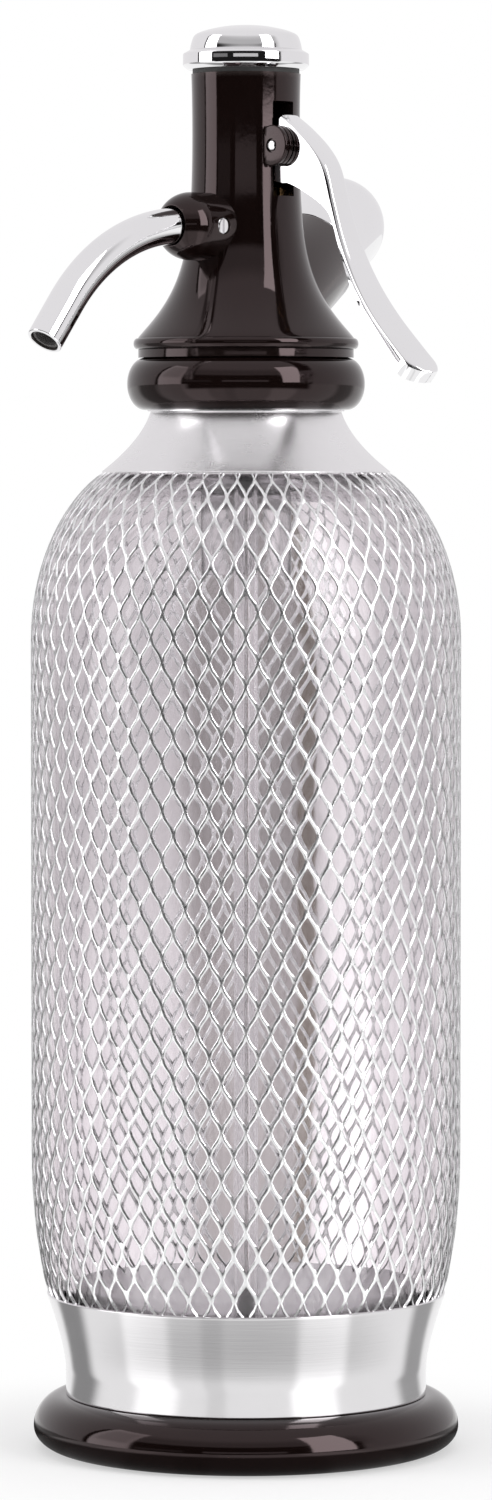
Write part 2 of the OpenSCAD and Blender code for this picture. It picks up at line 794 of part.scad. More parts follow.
// Outer face of the lever: distance from the head's axis, and height
lever_back = curve(from_pin([
    [0.015, -0.134], [0.119, -0.076], [0.239, 0.009], [0.319, 0.102], [0.373, 0.246],
    [0.44, 0.405], [0.549, 0.583], [0.683, 0.739], [0.857, 0.89], [1, 1]
]));
lever_tail = from_pin([[0.948, 1.045], [0.879, 1.019]]);
// Lower edge of the lever's side webs, from the pin to the tail
lever_edge = curve(from_pin([
    [-0.02, 0.155], [0.085, 0.17], [0.254, 0.241], [0.354, 0.311], [0.414, 0.432],
    [0.523, 0.633], [0.675, 0.811], [0.827, 0.973]
]));
// Half the width of the lever against height, from its top to the tail
function lever_half(z) =
    let (t = max(0, min(1, ((pivot_z - z) / lever_fall - 0.227) / 0.72)))
    lever_w / 2 + (tail_w - lever_w) / 2 * t * t * (3 - 2 * t);

// Side outline of the lever. Inside the head each web ends in a knuckle that is level with the pin.
module lever_side() {
    low = pivot_z - knuckle_r;
    top = pivot_z + knuckle_r;
    polygon(concat(
        lever_back,
        lever_tail,
        [for (i = [len(lever_edge) - 1:-1:0]) lever_edge[i]],
        [[pivot_u * 0.58, low - knuckle_r * 1.64], [pivot_u * 0.11, low + knuckle_r * 0.18]],
        ellipse_arc([0, pivot_z], knuckle_r, knuckle_r, -80, -270, 10),
        [[pivot_u * 0.39, top], [pivot_u * 0.53, top + knuckle_r * 0.36],
         [pivot_u * 0.76, top + knuckle_r * 1.32], [pivot_u * 0.95, top + knuckle_r * 2.18]]
    ));
}

// The space between the webs: everything behind the top plate
module lever_inside() {
    face = beside(lever_back, lever_t);
    far = face[len(face) - 1][0];
    high_z = pivot_z + lever_fall / 3;
    low_z = pivot_z - lever_fall * 1.25;
    polygon(concat(
        [[face[0][0], high_z], [-knuckle_r * 2, high_z], [-knuckle_r * 2, low_z], [far, low_z]],
        [for (i = [len(face) - 1:-1:0]) face[i]]
    ));
}

// Outline of the lever seen along -Y, drawn in by d
module lever_front(d) {
    steps = 16;
    top_z = pivot_z + lever_fall / 4;
    tip_z = pivot_z - lever_fall * 1.047;
    turn_z = tip_z + tail_w * 0.53;
    levels = [for (i = [0:steps]) top_z - (top_z - turn_z) * i / steps];
    tail = lever_half(turn_z) - d;
    polygon(concat(
        [for (z = levels) [lever_half(z) - d, z]],
        [for (a = [10:10:170]) [tail * cos(a), turn_z - (turn_z - tip_z - d) * sin(a)]],
        [for (i = [steps:-1:0]) [-(lever_half(levels[i]) - d), levels[i]]]
    ));
}

// The lever's side view and front view, each drawn through the whole lever
module from_side() {
    translate([tail_w, 0, 0])
        rotate([90, 0, -90]) linear_extrude(height = tail_w * 2) children();
}
module from_front() {
    translate([0, knuckle_r * 2.5, 0])
        rotate([90, 0, 0]) linear_extrude(height = (pivot_u + lever_reach) * 1.5) children();
}

module lever() {
    color(chrome)
        difference() {
            intersection() {
                from_side() lever_side();
                from_front() lever_front(0);
            }
            intersection() {
                from_side() lever_inside();
                from_front() lever_front(lever_t);
            }
            at_pivot() cylinder(r = pin_r + run_gap, h = tail_w * 2, center = true);
        }
}

module lever_pin() {
    color(steel) at_pivot() cylinder(r = pin_r, h = ear_w + 0.2, center = true);
}

// ---- Valve ----

flange_z = pivot_z + knuckle_r + move_gap;
cap_low = head_top + cap_seal_t + 0.2;
cap_roof = cap_low + cap_h - 3.4;
cap_r = head_at(head_top) + cap_overhang;
crown_r = cap_r - cap_step;

module valve_stem() {
    foot_z = seat_z + 0.2 + valve_seal_t;
    top_z = flange_z + stem_flange_t + stem_above;
    color(brass)
        union() {
            translate([0, 0, foot_z]) cylinder(r = valve_seal_r - 0.3, h = 1.5);
            translate([0, 0, foot_z]) cylinder(r = stem_r, h = top_z - foot_z);
            translate([0, 0, flange_z]) cylinder(r = stem_flange_r, h = stem_flange_t);
        }
}

module valve_seal() {
    color(rubber) translate([0, 0, seat_z + 0.2]) cylinder(r = valve_seal_r, h = valve_seal_t);
}

module stem_guide() {
    color(brass) ring(stem_r + run_gap, well_r - fit_gap, well_z, guide_t);
}

module stem_seal() {
    color(rubber) ring(stem_r + run_gap, chamber_r + 0.5, well_z - 1.35, 1.3);
}

// The spring is one wire between the stem's flange and the roof of the cap
module valve_spring() {
    sides = 6;
    per_turn = 10;
    low = flange_z + stem_flange_t + spring_wire / 2 + 0.05;
    high = cap_roof - spring_wire / 2 - 0.05;
    count = spring_turns * per_turn;
    lean = atan2((high - low) / spring_turns, 2 * PI * spring_r);
    points = [for (k = [0:count]) for (s = [0:sides - 1])
        let (
            a = 360 * k / per_turn,
            w = 360 * s / sides,
            r = spring_r + spring_wire / 2 * cos(w),
            up = spring_wire / 2 * sin(w)
        )
        [r * cos(a) + up * sin(lean) * sin(a), r * sin(a) - up * sin(lean) * cos(a),
         low + (high - low) * k / count + up * cos(lean)]];
    walls = [for (k = [0:count - 1]) for (s = [0:sides - 1])
        let (a = k * sides + s, b = k * sides + (s + 1) % sides)
        each [[a, a + sides, b], [b, a + sides, b + sides]]];
    color(steel)
        polyhedron(points = points, faces = concat(walls,
            [[for (s = [0:sides - 1]) s]],
            [[for (s = [sides - 1:-1:0]) count * sides + s]]), convexity = 8);
}

// ---- Cap ----

module cap_seal() {
    color(rubber) ring(well_r, head_at(head_top) - 0.3, head_top, cap_seal_t);
}

module cap() {
    top = cap_low + cap_h;
    rim_top = cap_low + cap_rim_h;
    spigot_r = well_r - move_gap;
    color(chrome)
        rotate_extrude()
            polygon(concat(
                [[spigot_r, cap_low - spigot_h], [spigot_r, cap_low], [cap_r - 1.2, cap_low],
                 [cap_r, cap_low + 1], [cap_r, rim_top - 0.3], [cap_r - 0.3, rim_top],
                 [crown_r + 0.5, rim_top + 0.4], [crown_r, rim_top + 1.6]],
                ellipse_arc([crown_r - 2.8, rim_top + 2.6], 2.5, 2, 0, 90, 6),
                [[crown_r * 0.55, top - 0.9], [crown_r * 0.28, top - 0.25], [0, top], [0, cap_roof],
                 [spigot_r - 2.2, cap_roof], [spigot_r - 2.2, cap_low - spigot_h]]
            ));
}

// ---- Charger and its holder ----

module charger_holder() {
    spigot_r = thread_bore_r - move_gap;
    face = socket_end + move_gap;
    tip = charger_start + charger_len + 0.3;
    inner_r = charger_r + 0.4;
    ball_s = tip + 1.6 - holder_r;
    color(chrome)
        along_charger()
            rotate_extrude()
                polygon(concat(
                    [[inner_r, socket_end - holder_spigot], [spigot_r, socket_end - holder_spigot],
                     [spigot_r, face], [holder_r - 0.5, face], [holder_r, face + 0.5]],
                    ellipse_arc([0, ball_s], holder_r, holder_r, 0, 90),
                    ellipse_arc([0, tip - inner_r], inner_r, inner_r, 90, 0)
                ));
}

module gas_charger() {
    shoulder_s = charger_start + charger_neck;
    ball_s = charger_start + charger_len - charger_r;
    color(steel)
        along_charger()
            rotate_extrude()
                polygon(concat(
                    [[0, charger_start + 4.3], [1.1, charger_start + 4.3], [1.1, charger_start],
                     [charger_neck_r - 0.3, charger_start], [charger_neck_r, charger_start + 0.3],
                     [charger_neck_r, shoulder_s], [charger_r, shoulder_s + 6]],
                    ellipse_arc([0, ball_s], charger_r, charger_r, 0, 90)
                ));
}

base_ring();
bottle_cushion();
base_collar();
glass_bottle();
mesh_sleeve();
shoulder_collar();
neck_sleeve();
measuring_tube();
neck_ring();
head_gasket();
tube_holder();
siphon_tube();
head_body();
gas_valve();
piercing_pin();
charger_seal();
nozzle_seal();
nozzle_tube();
nozzle_liner();
nozzle_screw();
lever_pin();
stem_guide();
stem_seal();
valve_spring();
cap_seal();
valve_stem();
valve_seal();
lever();
cap();
charger_holder();
gas_charger();
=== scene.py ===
import math

import bmesh
import bpy
from mathutils import Matrix, Vector


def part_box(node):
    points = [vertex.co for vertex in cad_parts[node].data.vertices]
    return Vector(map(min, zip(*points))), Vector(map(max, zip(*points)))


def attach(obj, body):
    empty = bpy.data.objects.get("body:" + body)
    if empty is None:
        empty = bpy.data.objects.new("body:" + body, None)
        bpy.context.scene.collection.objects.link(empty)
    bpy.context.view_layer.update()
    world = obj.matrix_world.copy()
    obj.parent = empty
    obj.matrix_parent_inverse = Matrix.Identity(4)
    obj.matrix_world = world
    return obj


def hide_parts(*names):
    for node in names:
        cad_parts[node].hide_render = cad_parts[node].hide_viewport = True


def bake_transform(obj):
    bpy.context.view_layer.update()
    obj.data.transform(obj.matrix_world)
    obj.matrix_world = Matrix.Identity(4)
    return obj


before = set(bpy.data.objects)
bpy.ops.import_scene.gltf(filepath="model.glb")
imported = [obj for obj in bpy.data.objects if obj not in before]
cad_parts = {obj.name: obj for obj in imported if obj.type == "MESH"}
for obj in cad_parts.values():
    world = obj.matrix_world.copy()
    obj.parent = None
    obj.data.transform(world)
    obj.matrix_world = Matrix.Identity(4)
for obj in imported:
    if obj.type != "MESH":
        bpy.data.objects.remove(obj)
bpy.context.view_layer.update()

# ---- The studio: camera, floor, room and lamps ----
# The camera stands level with the shoulder collar and looks slightly down. The room is white behind the
# siphon and dark behind the camera, with a tall soft lamp at each side and a wide one overhead.

MM = 0.001
WHITE = (1, 1, 1, 1)
FRONT = Vector((-1, -1, 0)).normalized()
front_turn = 135
eye_distance, eye_height, aim_height = 1.457, 0.234, 0.1642
lens_mm, sensor_mm = 149.3, 36
glass_eye = 0.4
floor_r, painted_dark_from = 6, 0.9


def in_scene(name, data):
    made = bpy.data.objects.new(name, data)
    bpy.context.scene.collection.objects.link(made)
    return made


eye = bpy.data.cameras.new("eye")
eye.lens, eye.sensor_width = lens_mm, sensor_mm
eye.clip_start, eye.clip_end = 0.05, 50
eye_level = Vector((0, 0, eye_height))
camera = in_scene("camera", eye)
camera.location = FRONT * eye_distance + eye_level
sight = Vector((0, 0, aim_height)) - camera.location
camera.rotation_euler = sight.to_track_quat("-Z", "Y").to_euler()
bpy.context.scene.camera = camera
bpy.context.scene.view_settings.view_transform = "Standard"


def plug(node, **inputs):
    """Links outputs to a node's inputs, or sets plain values on them; _2 means input number 2"""
    for name, value in inputs.items():
        socket = node.inputs[int(name[1:]) if name[0] == "_" else name.replace("_", " ")]
        if isinstance(value, bpy.types.NodeSocket):
            node.id_data.links.new(value, socket)
        else:
            socket.default_value = value


def add(tree, kind, settings=None, **inputs):
    """A new shader node with its settings and inputs"""
    made = tree.nodes.new("ShaderNode" + kind)
    for name, value in (settings or {}).items():
        setattr(made, name, value)
    plug(made, **inputs)
    return made


def emptied(owner):
    """The node tree of a world or a material, with nothing in it"""
    owner.use_nodes = True
    owner.node_tree.nodes.clear()
    return owner.node_tree


def maths(tree, operation, a, b=0.0):
    return add(tree, "Math", {"operation": operation}, _0=a, _1=b).outputs[0]


def mixed_colour(tree, share, first, second):
    return add(tree, "Mix", {"data_type": "RGBA"}, Factor=share, _6=first, _7=second).outputs[2]


def mixed_level(tree, share, first, second):
    return add(tree, "Mix", Factor=share, A=first, B=second).outputs[0]


def fade(tree, value, start, end, low=0.0, high=1.0):
    """Goes smoothly from low to high while value goes from start to end"""
    return add(tree, "MapRange", {"interpolation_type": "SMOOTHSTEP"}, Value=value, From_Min=start,
               From_Max=end, To_Min=low, To_Max=high).outputs[0]


def between(tree, value, low, high, soft):
    """1 where value lies between low and high, fading over soft on each side of both"""
    rise = fade(tree, value, low - soft, low + soft)
    fall = fade(tree, value, high - soft, high + soft, 1.0, 0.0)
    return maths(tree, "MULTIPLY", rise, fall)


def front_and_side(tree, vector):
    """The parts of a vector in the room: X to the siphon's front, Y to the right seen from there, Z up"""
    in_room = add(tree, "VectorRotate", {"rotation_type": "Z_AXIS"}, Vector=vector,
                  Angle=math.radians(front_turn))
    return add(tree, "SeparateXYZ", Vector=in_room.outputs[0])


def turn_of(tree, part):
    """Degrees round the axis, from the front towards the right"""
    return maths(tree, "DEGREES", maths(tree, "ARCTAN2", part.outputs["Y"], part.outputs["X"]))


def grey(level):
    """A grey with a faint pink cast"""
    return (level, level * 0.985, level, 1)


def behind_glass(tree, part, far_off=0.0):
    """What clear pieces show behind them: a pale room, darker towards the front, with painted shade in a
    darker stretch in the middle, a painted dark brown stripe at its right edge and a painted lighter stretch
    further right. Thick glass spreads the lines of sight, as if the eye were glass_eye away. Each stretch is
    (colour, from and to in metres to the right of the axis, soft)."""
    stretches = (
        ((0.9, 0.84, 0.87, 1), 0.018, 0.034, 0.005),
        ((0.28, 0.25, 0.255, 1), -0.0125, 0.0135, 0.004),
        ((0.16, 0.13, 0.115, 1), 0.0107, 0.0147, 0.0006),
    )
    away = maths(tree, "MAXIMUM", maths(tree, "SUBTRACT", far_off, part.outputs["X"]), MM)
    aside = maths(tree, "MULTIPLY", glass_eye, maths(tree, "DIVIDE", part.outputs["Y"], away))
    in_front = maths(tree, "GREATER_THAN", part.outputs["X"], 0.0)
    colour = mixed_colour(tree, in_front, (0.6, 0.555, 0.58, 1), (1, 0.95, 0.975, 1))
    # Painted shade and light seen through clear pieces, stretch by stretch
    for tone, low, high, soft in stretches:
        colour = mixed_colour(tree, between(tree, aside, low, high, soft), colour, tone)
    return colour


def make_room():
    """White to the eye and plain grey as light. Shiny pieces mirror a white room with a dark front, two tall
    soft lamps and a white ceiling. Each patch is (level, turn from, turn to, rise from, rise to, soft)."""
    patches = (
        (0.5, -72, 72, 15, 40, 8),
        (0.012, -67, 67, -90, 23, 2),
        (0.015, -99, -65, -90, 40, 1),
        (0.6, -23, 22, 3.25, 8, 0.1),
        (0.2, -62, -34, 3.25, 8, 0.1),
        (2.7, -95, -66, -8, 45, 1.2),
        (1.9, -92, -68, 14, 42, 4),
        (5.0, 36, 62, 1.6, 50, 0.5),
    )
    world = bpy.data.worlds.new("room")
    bpy.context.scene.world = world
    tree = emptied(world)
    part = front_and_side(tree, add(tree, "TexCoord").outputs["Generated"])
    turn = turn_of(tree, part)
    rise = maths(tree, "DEGREES", maths(tree, "ARCSINE", part.outputs["Z"]))
    mirrored = grey(0.86)
    for level, turn_low, turn_high, rise_low, rise_high, soft in patches:
        inside = maths(tree, "MULTIPLY", between(tree, turn, turn_low, turn_high, soft),
                       between(tree, rise, rise_low, rise_high, soft))
        mirrored = mixed_colour(tree, inside, mirrored, grey(level))
    path = add(tree, "LightPath")
    seen = mixed_colour(tree, path.outputs["Is Glossy Ray"], grey(0.5), mirrored)
    seen = mixed_colour(tree, path.outputs["Is Transmission Ray"], seen, behind_glass(tree, part))
    seen = mixed_colour(tree, path.outputs["Is Camera Ray"], seen, WHITE)
    add(tree, "OutputWorld", Surface=add(tree, "Background", Color=seen).outputs[0])


def soft_lamp(name, turn, rise, distance, width, height, brightness):
    """A flat lamp, turned from the front by turn and raised by rise, in degrees. It only lights dull
    surfaces, because the room holds what shiny ones mirror."""
    turn, rise = math.radians(turn), math.radians(rise)
    level = Matrix.Rotation(turn, 3, "Z") @ FRONT
    place = (level * math.cos(rise) + Vector((0, 0, math.sin(rise)))) * distance + eye_level
    lamp = bpy.data.lights.new(name, "AREA")
    lamp.shape, lamp.size, lamp.size_y = "RECTANGLE", width, height
    lamp.energy = brightness * math.pi * width * height
    holder = in_scene(name, lamp)
    holder.location = place
    holder.rotation_euler = (place - eye_level).to_track_quat("Z", "Y").to_euler()
    holder.visible_camera = holder.visible_glossy = holder.visible_transmission = False


def mesh_object(name, bm):
    """A new object in the scene, made of a bmesh that isn't used again"""
    mesh = bpy.data.meshes.new(name)
    bm.to_mesh(mesh)
    bm.free()
    return in_scene(name, mesh)


def make_floor():
    """A white floor. It takes the siphon's shadow, and further off it is plain white to the eye. Shiny
    pieces mirror it grey, with a painted shadow right round the foot and painted darkness further out on the
    camera's side, and with painted lighter stretches by the lamps and darker ones elsewhere: each band is
    (level, turn from, turn to, soft). Through clear pieces it shows what behind_glass paints, painted
    brighter near the siphon."""
    painted_bands = (
        (1.4, -64, -38, 3),
        (1.5, 25, 51, 3),
        (0.84, -21, -11, 2),
        (0.3, -128, -96, 6),
        (0.4, 100, 128, 6),
    )
    bm = bmesh.new()
    bmesh.ops.create_circle(bm, cap_ends=True, radius=floor_r, segments=96)
    floor = mesh_object("floor", bm)
    paint = bpy.data.materials.new("floor_white")
    tree = emptied(paint)
    place = add(tree, "TexCoord").outputs["Object"]
    part = front_and_side(tree, place)
    turn = turn_of(tree, part)
    spread = add(tree, "VectorMath", {"operation": "LENGTH"}, _0=place).outputs["Value"]
    # Painted shadow round the foot in what shiny pieces mirror, then painted lighter and darker bands
    painted_shade_and_light = fade(tree, spread, start=0.066, end=0.09, low=0.12)
    for level, low, high, soft in painted_bands:
        share = mixed_level(tree, between(tree, turn, low, high, soft), 1.0, level)
        painted_shade_and_light = maths(tree, "MULTIPLY", painted_shade_and_light, share)
    # Painted darkness further out on the camera's side, in what shiny pieces mirror
    painted_dark_front = maths(tree, "MULTIPLY", between(tree, turn, -60, 64, soft=4),
                      between(tree, spread, painted_dark_from, 9, soft=0.25))
    path = add(tree, "LightPath")
    glossy, through = path.outputs["Is Glossy Ray"], path.outputs["Is Transmission Ray"]
    strength = mixed_level(tree, glossy, 1.0, mixed_level(tree, painted_dark_front, painted_shade_and_light, 0.02))
    # Painted light: seen through clear pieces, the floor is brighter near the siphon
    strength = mixed_level(tree, through, strength, fade(tree, spread, start=0.4, end=2.5, low=1.5))
    tone = mixed_colour(tree, through, WHITE, behind_glass(tree, part, glass_eye))
    plain = mixed_level(tree, glossy, fade(tree, spread, start=0.05, end=0.13, low=0.5), 1.0)
    seen = maths(tree, "MAXIMUM", path.outputs["Is Camera Ray"], maths(tree, "MAXIMUM", glossy, through))
    mixed = add(tree, "MixShader", _0=maths(tree, "MULTIPLY", plain, seen),
                _1=add(tree, "BsdfDiffuse", Color=(0.86, 0.86, 0.86, 1)).outputs[0],
                _2=add(tree, "Emission", Color=tone, Strength=strength).outputs[0])
    add(tree, "OutputMaterial", Surface=mixed.outputs[0])
    floor.data.materials.append(paint)


make_room()
make_floor()
soft_lamp("left_lamp", turn=-79, rise=15, distance=1.3, width=0.6, height=0.95, brightness=4.2)
soft_lamp("right_lamp", turn=49, rise=15, distance=1.3, width=0.62, height=0.95, brightness=5.0)
soft_lamp("top_lamp", turn=0, rise=78, distance=1.2, width=1.5, height=2.2, brightness=0.9)

# ---- Base ring ----
# One moulding of dark brown-black plastic, polished. The bottle stands on its floor, and a low wall inside
# the collar keeps it in place.


def surface_group(name, outputs):
    """An empty node group for an effect that finishes can share, with the object's coordinates, the
    pattern's scale and what it puts out"""
    tree = bpy.data.node_groups.new(name, "ShaderNodeTree")
    tree.interface.new_socket("Scale", in_out="INPUT", socket_type="NodeSocketFloat")
    for label in outputs:
        tree.interface.new_socket(label, in_out="OUTPUT", socket_type="NodeSocketFloat")
    scale = tree.nodes.new("NodeGroupInput").outputs["Scale"]
    return tree, add(tree, "TexCoord").outputs["Object"], scale, tree.nodes.new("NodeGroupOutput")


def make_handling_marks():
    """Slow tone changes, fingered patches and fine dust specks: Tone, Smudge and Height, from 0 to 1"""
    tree, place, scale, out = surface_group("handling_marks", ("Tone", "Smudge", "Height"))
    slow = add(tree, "TexNoise", Vector=place, Scale=scale, Detail=3.0, Roughness=0.55)
    patch = add(tree, "TexNoise", Vector=place, Scale=maths(tree, "MULTIPLY", scale, 2.7), Detail=5.0,
                Roughness=0.62)
    smudge = add(tree, "MapRange", Value=patch.outputs["Fac"], From_Min=0.45, From_Max=0.75)
    fine = add(tree, "TexNoise", Vector=place, Scale=maths(tree, "MULTIPLY", scale, 24.0), Detail=2.0)
    plug(out, Tone=slow.outputs["Fac"], Smudge=smudge.outputs[0], Height=fine.outputs["Fac"])
    return tree


def make_edge_wear():
    """1 on the edges that hands and cloths rub, broken up by noise: Wear"""
    tree, place, scale, out = surface_group("edge_wear", ("Wear",))
    sharp = add(tree, "MapRange", Value=add(tree, "NewGeometry").outputs["Pointiness"],
                From_Min=0.53, From_Max=0.6)
    broken = add(tree, "TexNoise", Vector=place, Scale=scale, Detail=4.0)
    plug(out, Wear=maths(tree, "MULTIPLY", sharp.outputs[0], broken.outputs["Fac"]))
    return tree


HANDLING_MARKS = make_handling_marks()
EDGE_WEAR = make_edge_wear()


def grouped(tree, group, scale):
    """Places a node group with its pattern at a scale, and gives its outputs"""
    placed = tree.nodes.new("ShaderNodeGroup")
    placed.node_tree = group
    placed.inputs["Scale"].default_value = scale
    return placed.outputs


def blank_material(name):
    made = bpy.data.materials.new(name)
    tree = emptied(made)
    surface = add(tree, "BsdfPrincipled")
    add(tree, "OutputMaterial", Surface=surface.outputs[0])
    return made, tree, surface


def two_tones(tree, mask, dark, light):
    return mixed_colour(tree, mask, (*dark, 1), (*light, 1))


def ranged(tree, value, low, high):
    return add(tree, "MapRange", Value=value, To_Min=low, To_Max=high).outputs[0]


def bumped(tree, height, strength, distance):
    return add(tree, "Bump", Strength=strength, Distance=distance, Height=height).outputs[0]


def make_black_plastic():
    """Polished phenolic black with a brown cast, a few fingered patches and paler rubbed edges"""
    made, tree, surface = blank_material("black_plastic")
    marks = grouped(tree, HANDLING_MARKS, 34.0)
    wear = grouped(tree, EDGE_WEAR, 420.0)
    body = two_tones(tree, marks["Tone"], (0.0035, 0.0018, 0.0016), (0.0065, 0.0034, 0.003))
    rough = maths(tree, "ADD", ranged(tree, marks["Smudge"], 0.05, 0.13),
                  maths(tree, "MULTIPLY", wear["Wear"], 0.2))
    plug(surface, Base_Color=mixed_colour(tree, wear["Wear"], body, (0.045, 0.036, 0.034, 1)),
         Roughness=rough, IOR=1.48, Specular_Tint=(1.0, 0.78, 0.79, 1),
         Normal=bumped(tree, marks["Height"], 0.05, 0.0001))
    return made


def arc(centre, across, up, start, end, steps):
    """Points of part of an ellipse, from angle start to end in degrees"""
    turn = [math.radians(start + (end - start) * i / steps) for i in range(steps + 1)]
    return [(centre[0] + across * math.cos(t), centre[1] + up * math.sin(t)) for t in turn]


def eased(outline, steps=4):
    """The outline with an arc at each point (r, z, radius) that has a third number"""
    made = []
    for i, point in enumerate(outline):
        here = Vector(point[:2])
        if len(point) < 3:
            made.append(tuple(here))
            continue
        before, after = Vector(outline[i - 1][:2]), Vector(outline[(i + 1) % len(outline)][:2])
        back, on = (before - here).normalized(), (after - here).normalized()
        half = back.angle(on) / 2
        cut = min(point[2] / math.tan(half), (before - here).length * 0.48, (after - here).length * 0.48)
        middle = here + (back + on).normalized() * (cut / math.cos(half))
        start, end = here + back * cut - middle, here + on * cut - middle
        first, last = start.normalized(), end.normalized()
        for k in range(steps + 1):
            made.append(tuple(middle + first.slerp(last, k / steps) * start.length))
    return made


def cleaned(bm, near):
    """The bmesh with vertices nearer than this joined and all faces turned outwards"""
    bmesh.ops.remove_doubles(bm, verts=bm.verts, dist=near)
    bmesh.ops.recalc_face_normals(bm, faces=bm.faces)
    return bm


def spun(outline, ring=False, steps=160):
    """A bmesh in millimetres, spun about Z from points (radius, height) or (radius, height, fillet). The
    outline of a ring closes on itself."""
    bm = bmesh.new()
    verts = [bm.verts.new((p[0], 0, p[1])) for p in eased(outline)]
    edges = [bm.edges.new(pair) for pair in zip(verts, verts[1:])]
    if ring:
        edges.append(bm.edges.new((verts[-1], verts[0])))
    bmesh.ops.spin(bm, geom=verts + edges, cent=(0, 0, 0), axis=(0, 0, 1), angle=math.tau, steps=steps,
                   use_merge=True)
    return cleaned(bm, 0.0005)


def shaded(bm, sharp=32):
    """Smooth faces, with edges that turn by more than sharp degrees left crisp"""
    for face in bm.faces:
        face.smooth = True
    for edge in bm.edges:
        edge.smooth = len(edge.link_faces) == 2 and edge.calc_face_angle() < math.radians(sharp)


def piece(name, bm, material, body, nodes=(), place=None, sharp=32):
    """Turns a bmesh in millimetres into a finished piece that rides on body, where one is given, and stands
    for the CAD nodes"""
    if place is not None:
        bmesh.ops.transform(bm, matrix=place, verts=bm.verts)
    bmesh.ops.scale(bm, vec=(MM, MM, MM), verts=bm.verts)
    shaded(bm, sharp)
    made = mesh_object(name, bm)
    made.data.materials.append(material)
    if body:
        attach(made, body)
    if nodes:
        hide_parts(*nodes)
    return made


def reach(node):
    """Largest radius about the bottle's axis, and lowest and highest level, of a CAD node in millimetres"""
    low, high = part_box(node)
    return high.y / MM, low.z / MM, high.z / MM


BLACK_PLASTIC = make_black_plastic()
foot_r, _, wall_top = reach("base_ring")
foot_h, floor_z, foot_bulge = 12.8, 6.0, 7.0
hollow_r, rest_r, hollow_h, rest_edge = 22, 38, 1.5, 0.3
wall_r, wall_t, wall_edge = 41.3, 1.7, 0.5
bulge_z = foot_h * 0.41
bulge_r = foot_r - foot_bulge
piece("base_ring_smooth", spun(
    [(0, 0), (hollow_r, 0, rest_edge), (hollow_r, hollow_h, rest_edge), (rest_r, hollow_h, rest_edge),
     (rest_r, 0, rest_edge)]
    + arc((bulge_r, bulge_z), foot_bulge, bulge_z, -90, 0, 20)
    + arc((bulge_r, bulge_z), foot_bulge, foot_h - bulge_z, 0, 90, 20)[1:]
    + [(wall_r, foot_h), (wall_r, wall_top, wall_edge), (wall_r - wall_t, wall_top, wall_edge),
       (wall_r - wall_t, floor_z), (0, floor_z)]),
    BLACK_PLASTIC, "bottle", ["base_ring"])

# ---- Rubber pieces ----
# Cushion, gasket, rings and valve discs, cut or moulded from black rubber. They lie between the hard
# pieces that they cushion or seal, and most of them are out of sight.


def marked_material(name, scale, dark, light, rough, bump, bump_from="Height", **plain):
    """A finish of two close tones with fingered patches and an uneven surface. rough is (clean, smudged),
    bump is (strength, depth in metres), and plain values go straight to the shader."""
    made, tree, surface = blank_material(name)
    marks = grouped(tree, HANDLING_MARKS, scale)
    plug(surface, Base_Color=two_tones(tree, marks["Tone"], dark, light),
         Roughness=ranged(tree, marks["Smudge"], *rough),
         Normal=bumped(tree, marks[bump_from], *bump), **plain)
    return made


def dress(material, *nodes):
    """Gives CAD nodes a finish in place of their plain one"""
    for node in nodes:
        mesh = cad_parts[node].data
        mesh.materials.clear()
        mesh.materials.append(material)


RUBBER = marked_material("black_rubber", 80, (0.018, 0.018, 0.018), (0.04, 0.039, 0.038),
                         rough=(0.55, 0.75), bump=(0.25, 0.0002))
dress(RUBBER, "bottle_cushion", "head_gasket", "gas_valve", "charger_seal", "nozzle_seal", "stem_seal",
      "cap_seal", "valve_seal")

# ---- Base collar ----
# Aluminium sheet spun to a flared skirt. It stands on the base ring, and its upper edge covers the end of
# the mesh.


def make_spun_lines():
    """Fine lines that run round the axis, as spinning and polishing leave them: Lines and Tone"""
    tree, place, scale, out = surface_group("spun_lines", ("Lines", "Tone"))
    part = add(tree, "SeparateXYZ", Vector=place)
    flat = add(tree, "CombineXYZ", X=part.outputs["X"], Y=part.outputs["Y"])
    radius = add(tree, "VectorMath", {"operation": "LENGTH"}, _0=flat.outputs[0]).outputs["Value"]
    turn = maths(tree, "ARCTAN2", part.outputs["Y"], part.outputs["X"])
    along = add(tree, "CombineXYZ", X=maths(tree, "MULTIPLY", turn, 0.0011), Y=radius, Z=part.outputs["Z"])
    lines = add(tree, "TexNoise", Vector=along.outputs[0], Scale=maths(tree, "MULTIPLY", scale, 40.0),
                Detail=3.0, Roughness=0.6)
    slow = add(tree, "TexNoise", Vector=place, Scale=scale, Detail=3.0)
    plug(out, Lines=lines.outputs["Fac"], Tone=slow.outputs["Fac"])
    return tree


SPUN_LINES = make_spun_lines()


def make_collar_aluminium(name, tone, rough):
    """Spun aluminium, a little lighter in places and rougher along its lines and where it was handled"""
    made, tree, surface = blank_material(name)
    spin = grouped(tree, SPUN_LINES, 60.0)
    marks = grouped(tree, HANDLING_MARKS, 45.0)
    plug(surface, Metallic=1.0,
         Base_Color=two_tones(tree, spin["Tone"], (tone, tone * 0.985, tone),
                              (tone * 1.1, tone * 1.085, tone * 1.1)),
         Roughness=maths(tree, "ADD", ranged(tree, spin["Lines"], rough, rough + 0.08),
                         maths(tree, "MULTIPLY", marks["Smudge"], 0.05)),
         Normal=bumped(tree, spin["Lines"], 0.12, 0.00004))
    return made


BASE_ALUMINIUM = make_collar_aluminium("base_collar_aluminium", 0.71, 0.08)
SHOULDER_ALUMINIUM = make_collar_aluminium("shoulder_collar_aluminium", 0.8, 0.2)
skirt_edge_r, _, skirt_top = reach("base_collar")
skirt_r, sheet_t = 42.4, 0.8
flare_from = foot_h + 6.6


def skirt_at(z):
    """Outer radius of the collar, straight at first and then flaring out"""
    return skirt_r + (skirt_edge_r - skirt_r) * (max(z - flare_from, 0) / (skirt_top - flare_from)) ** 1.4


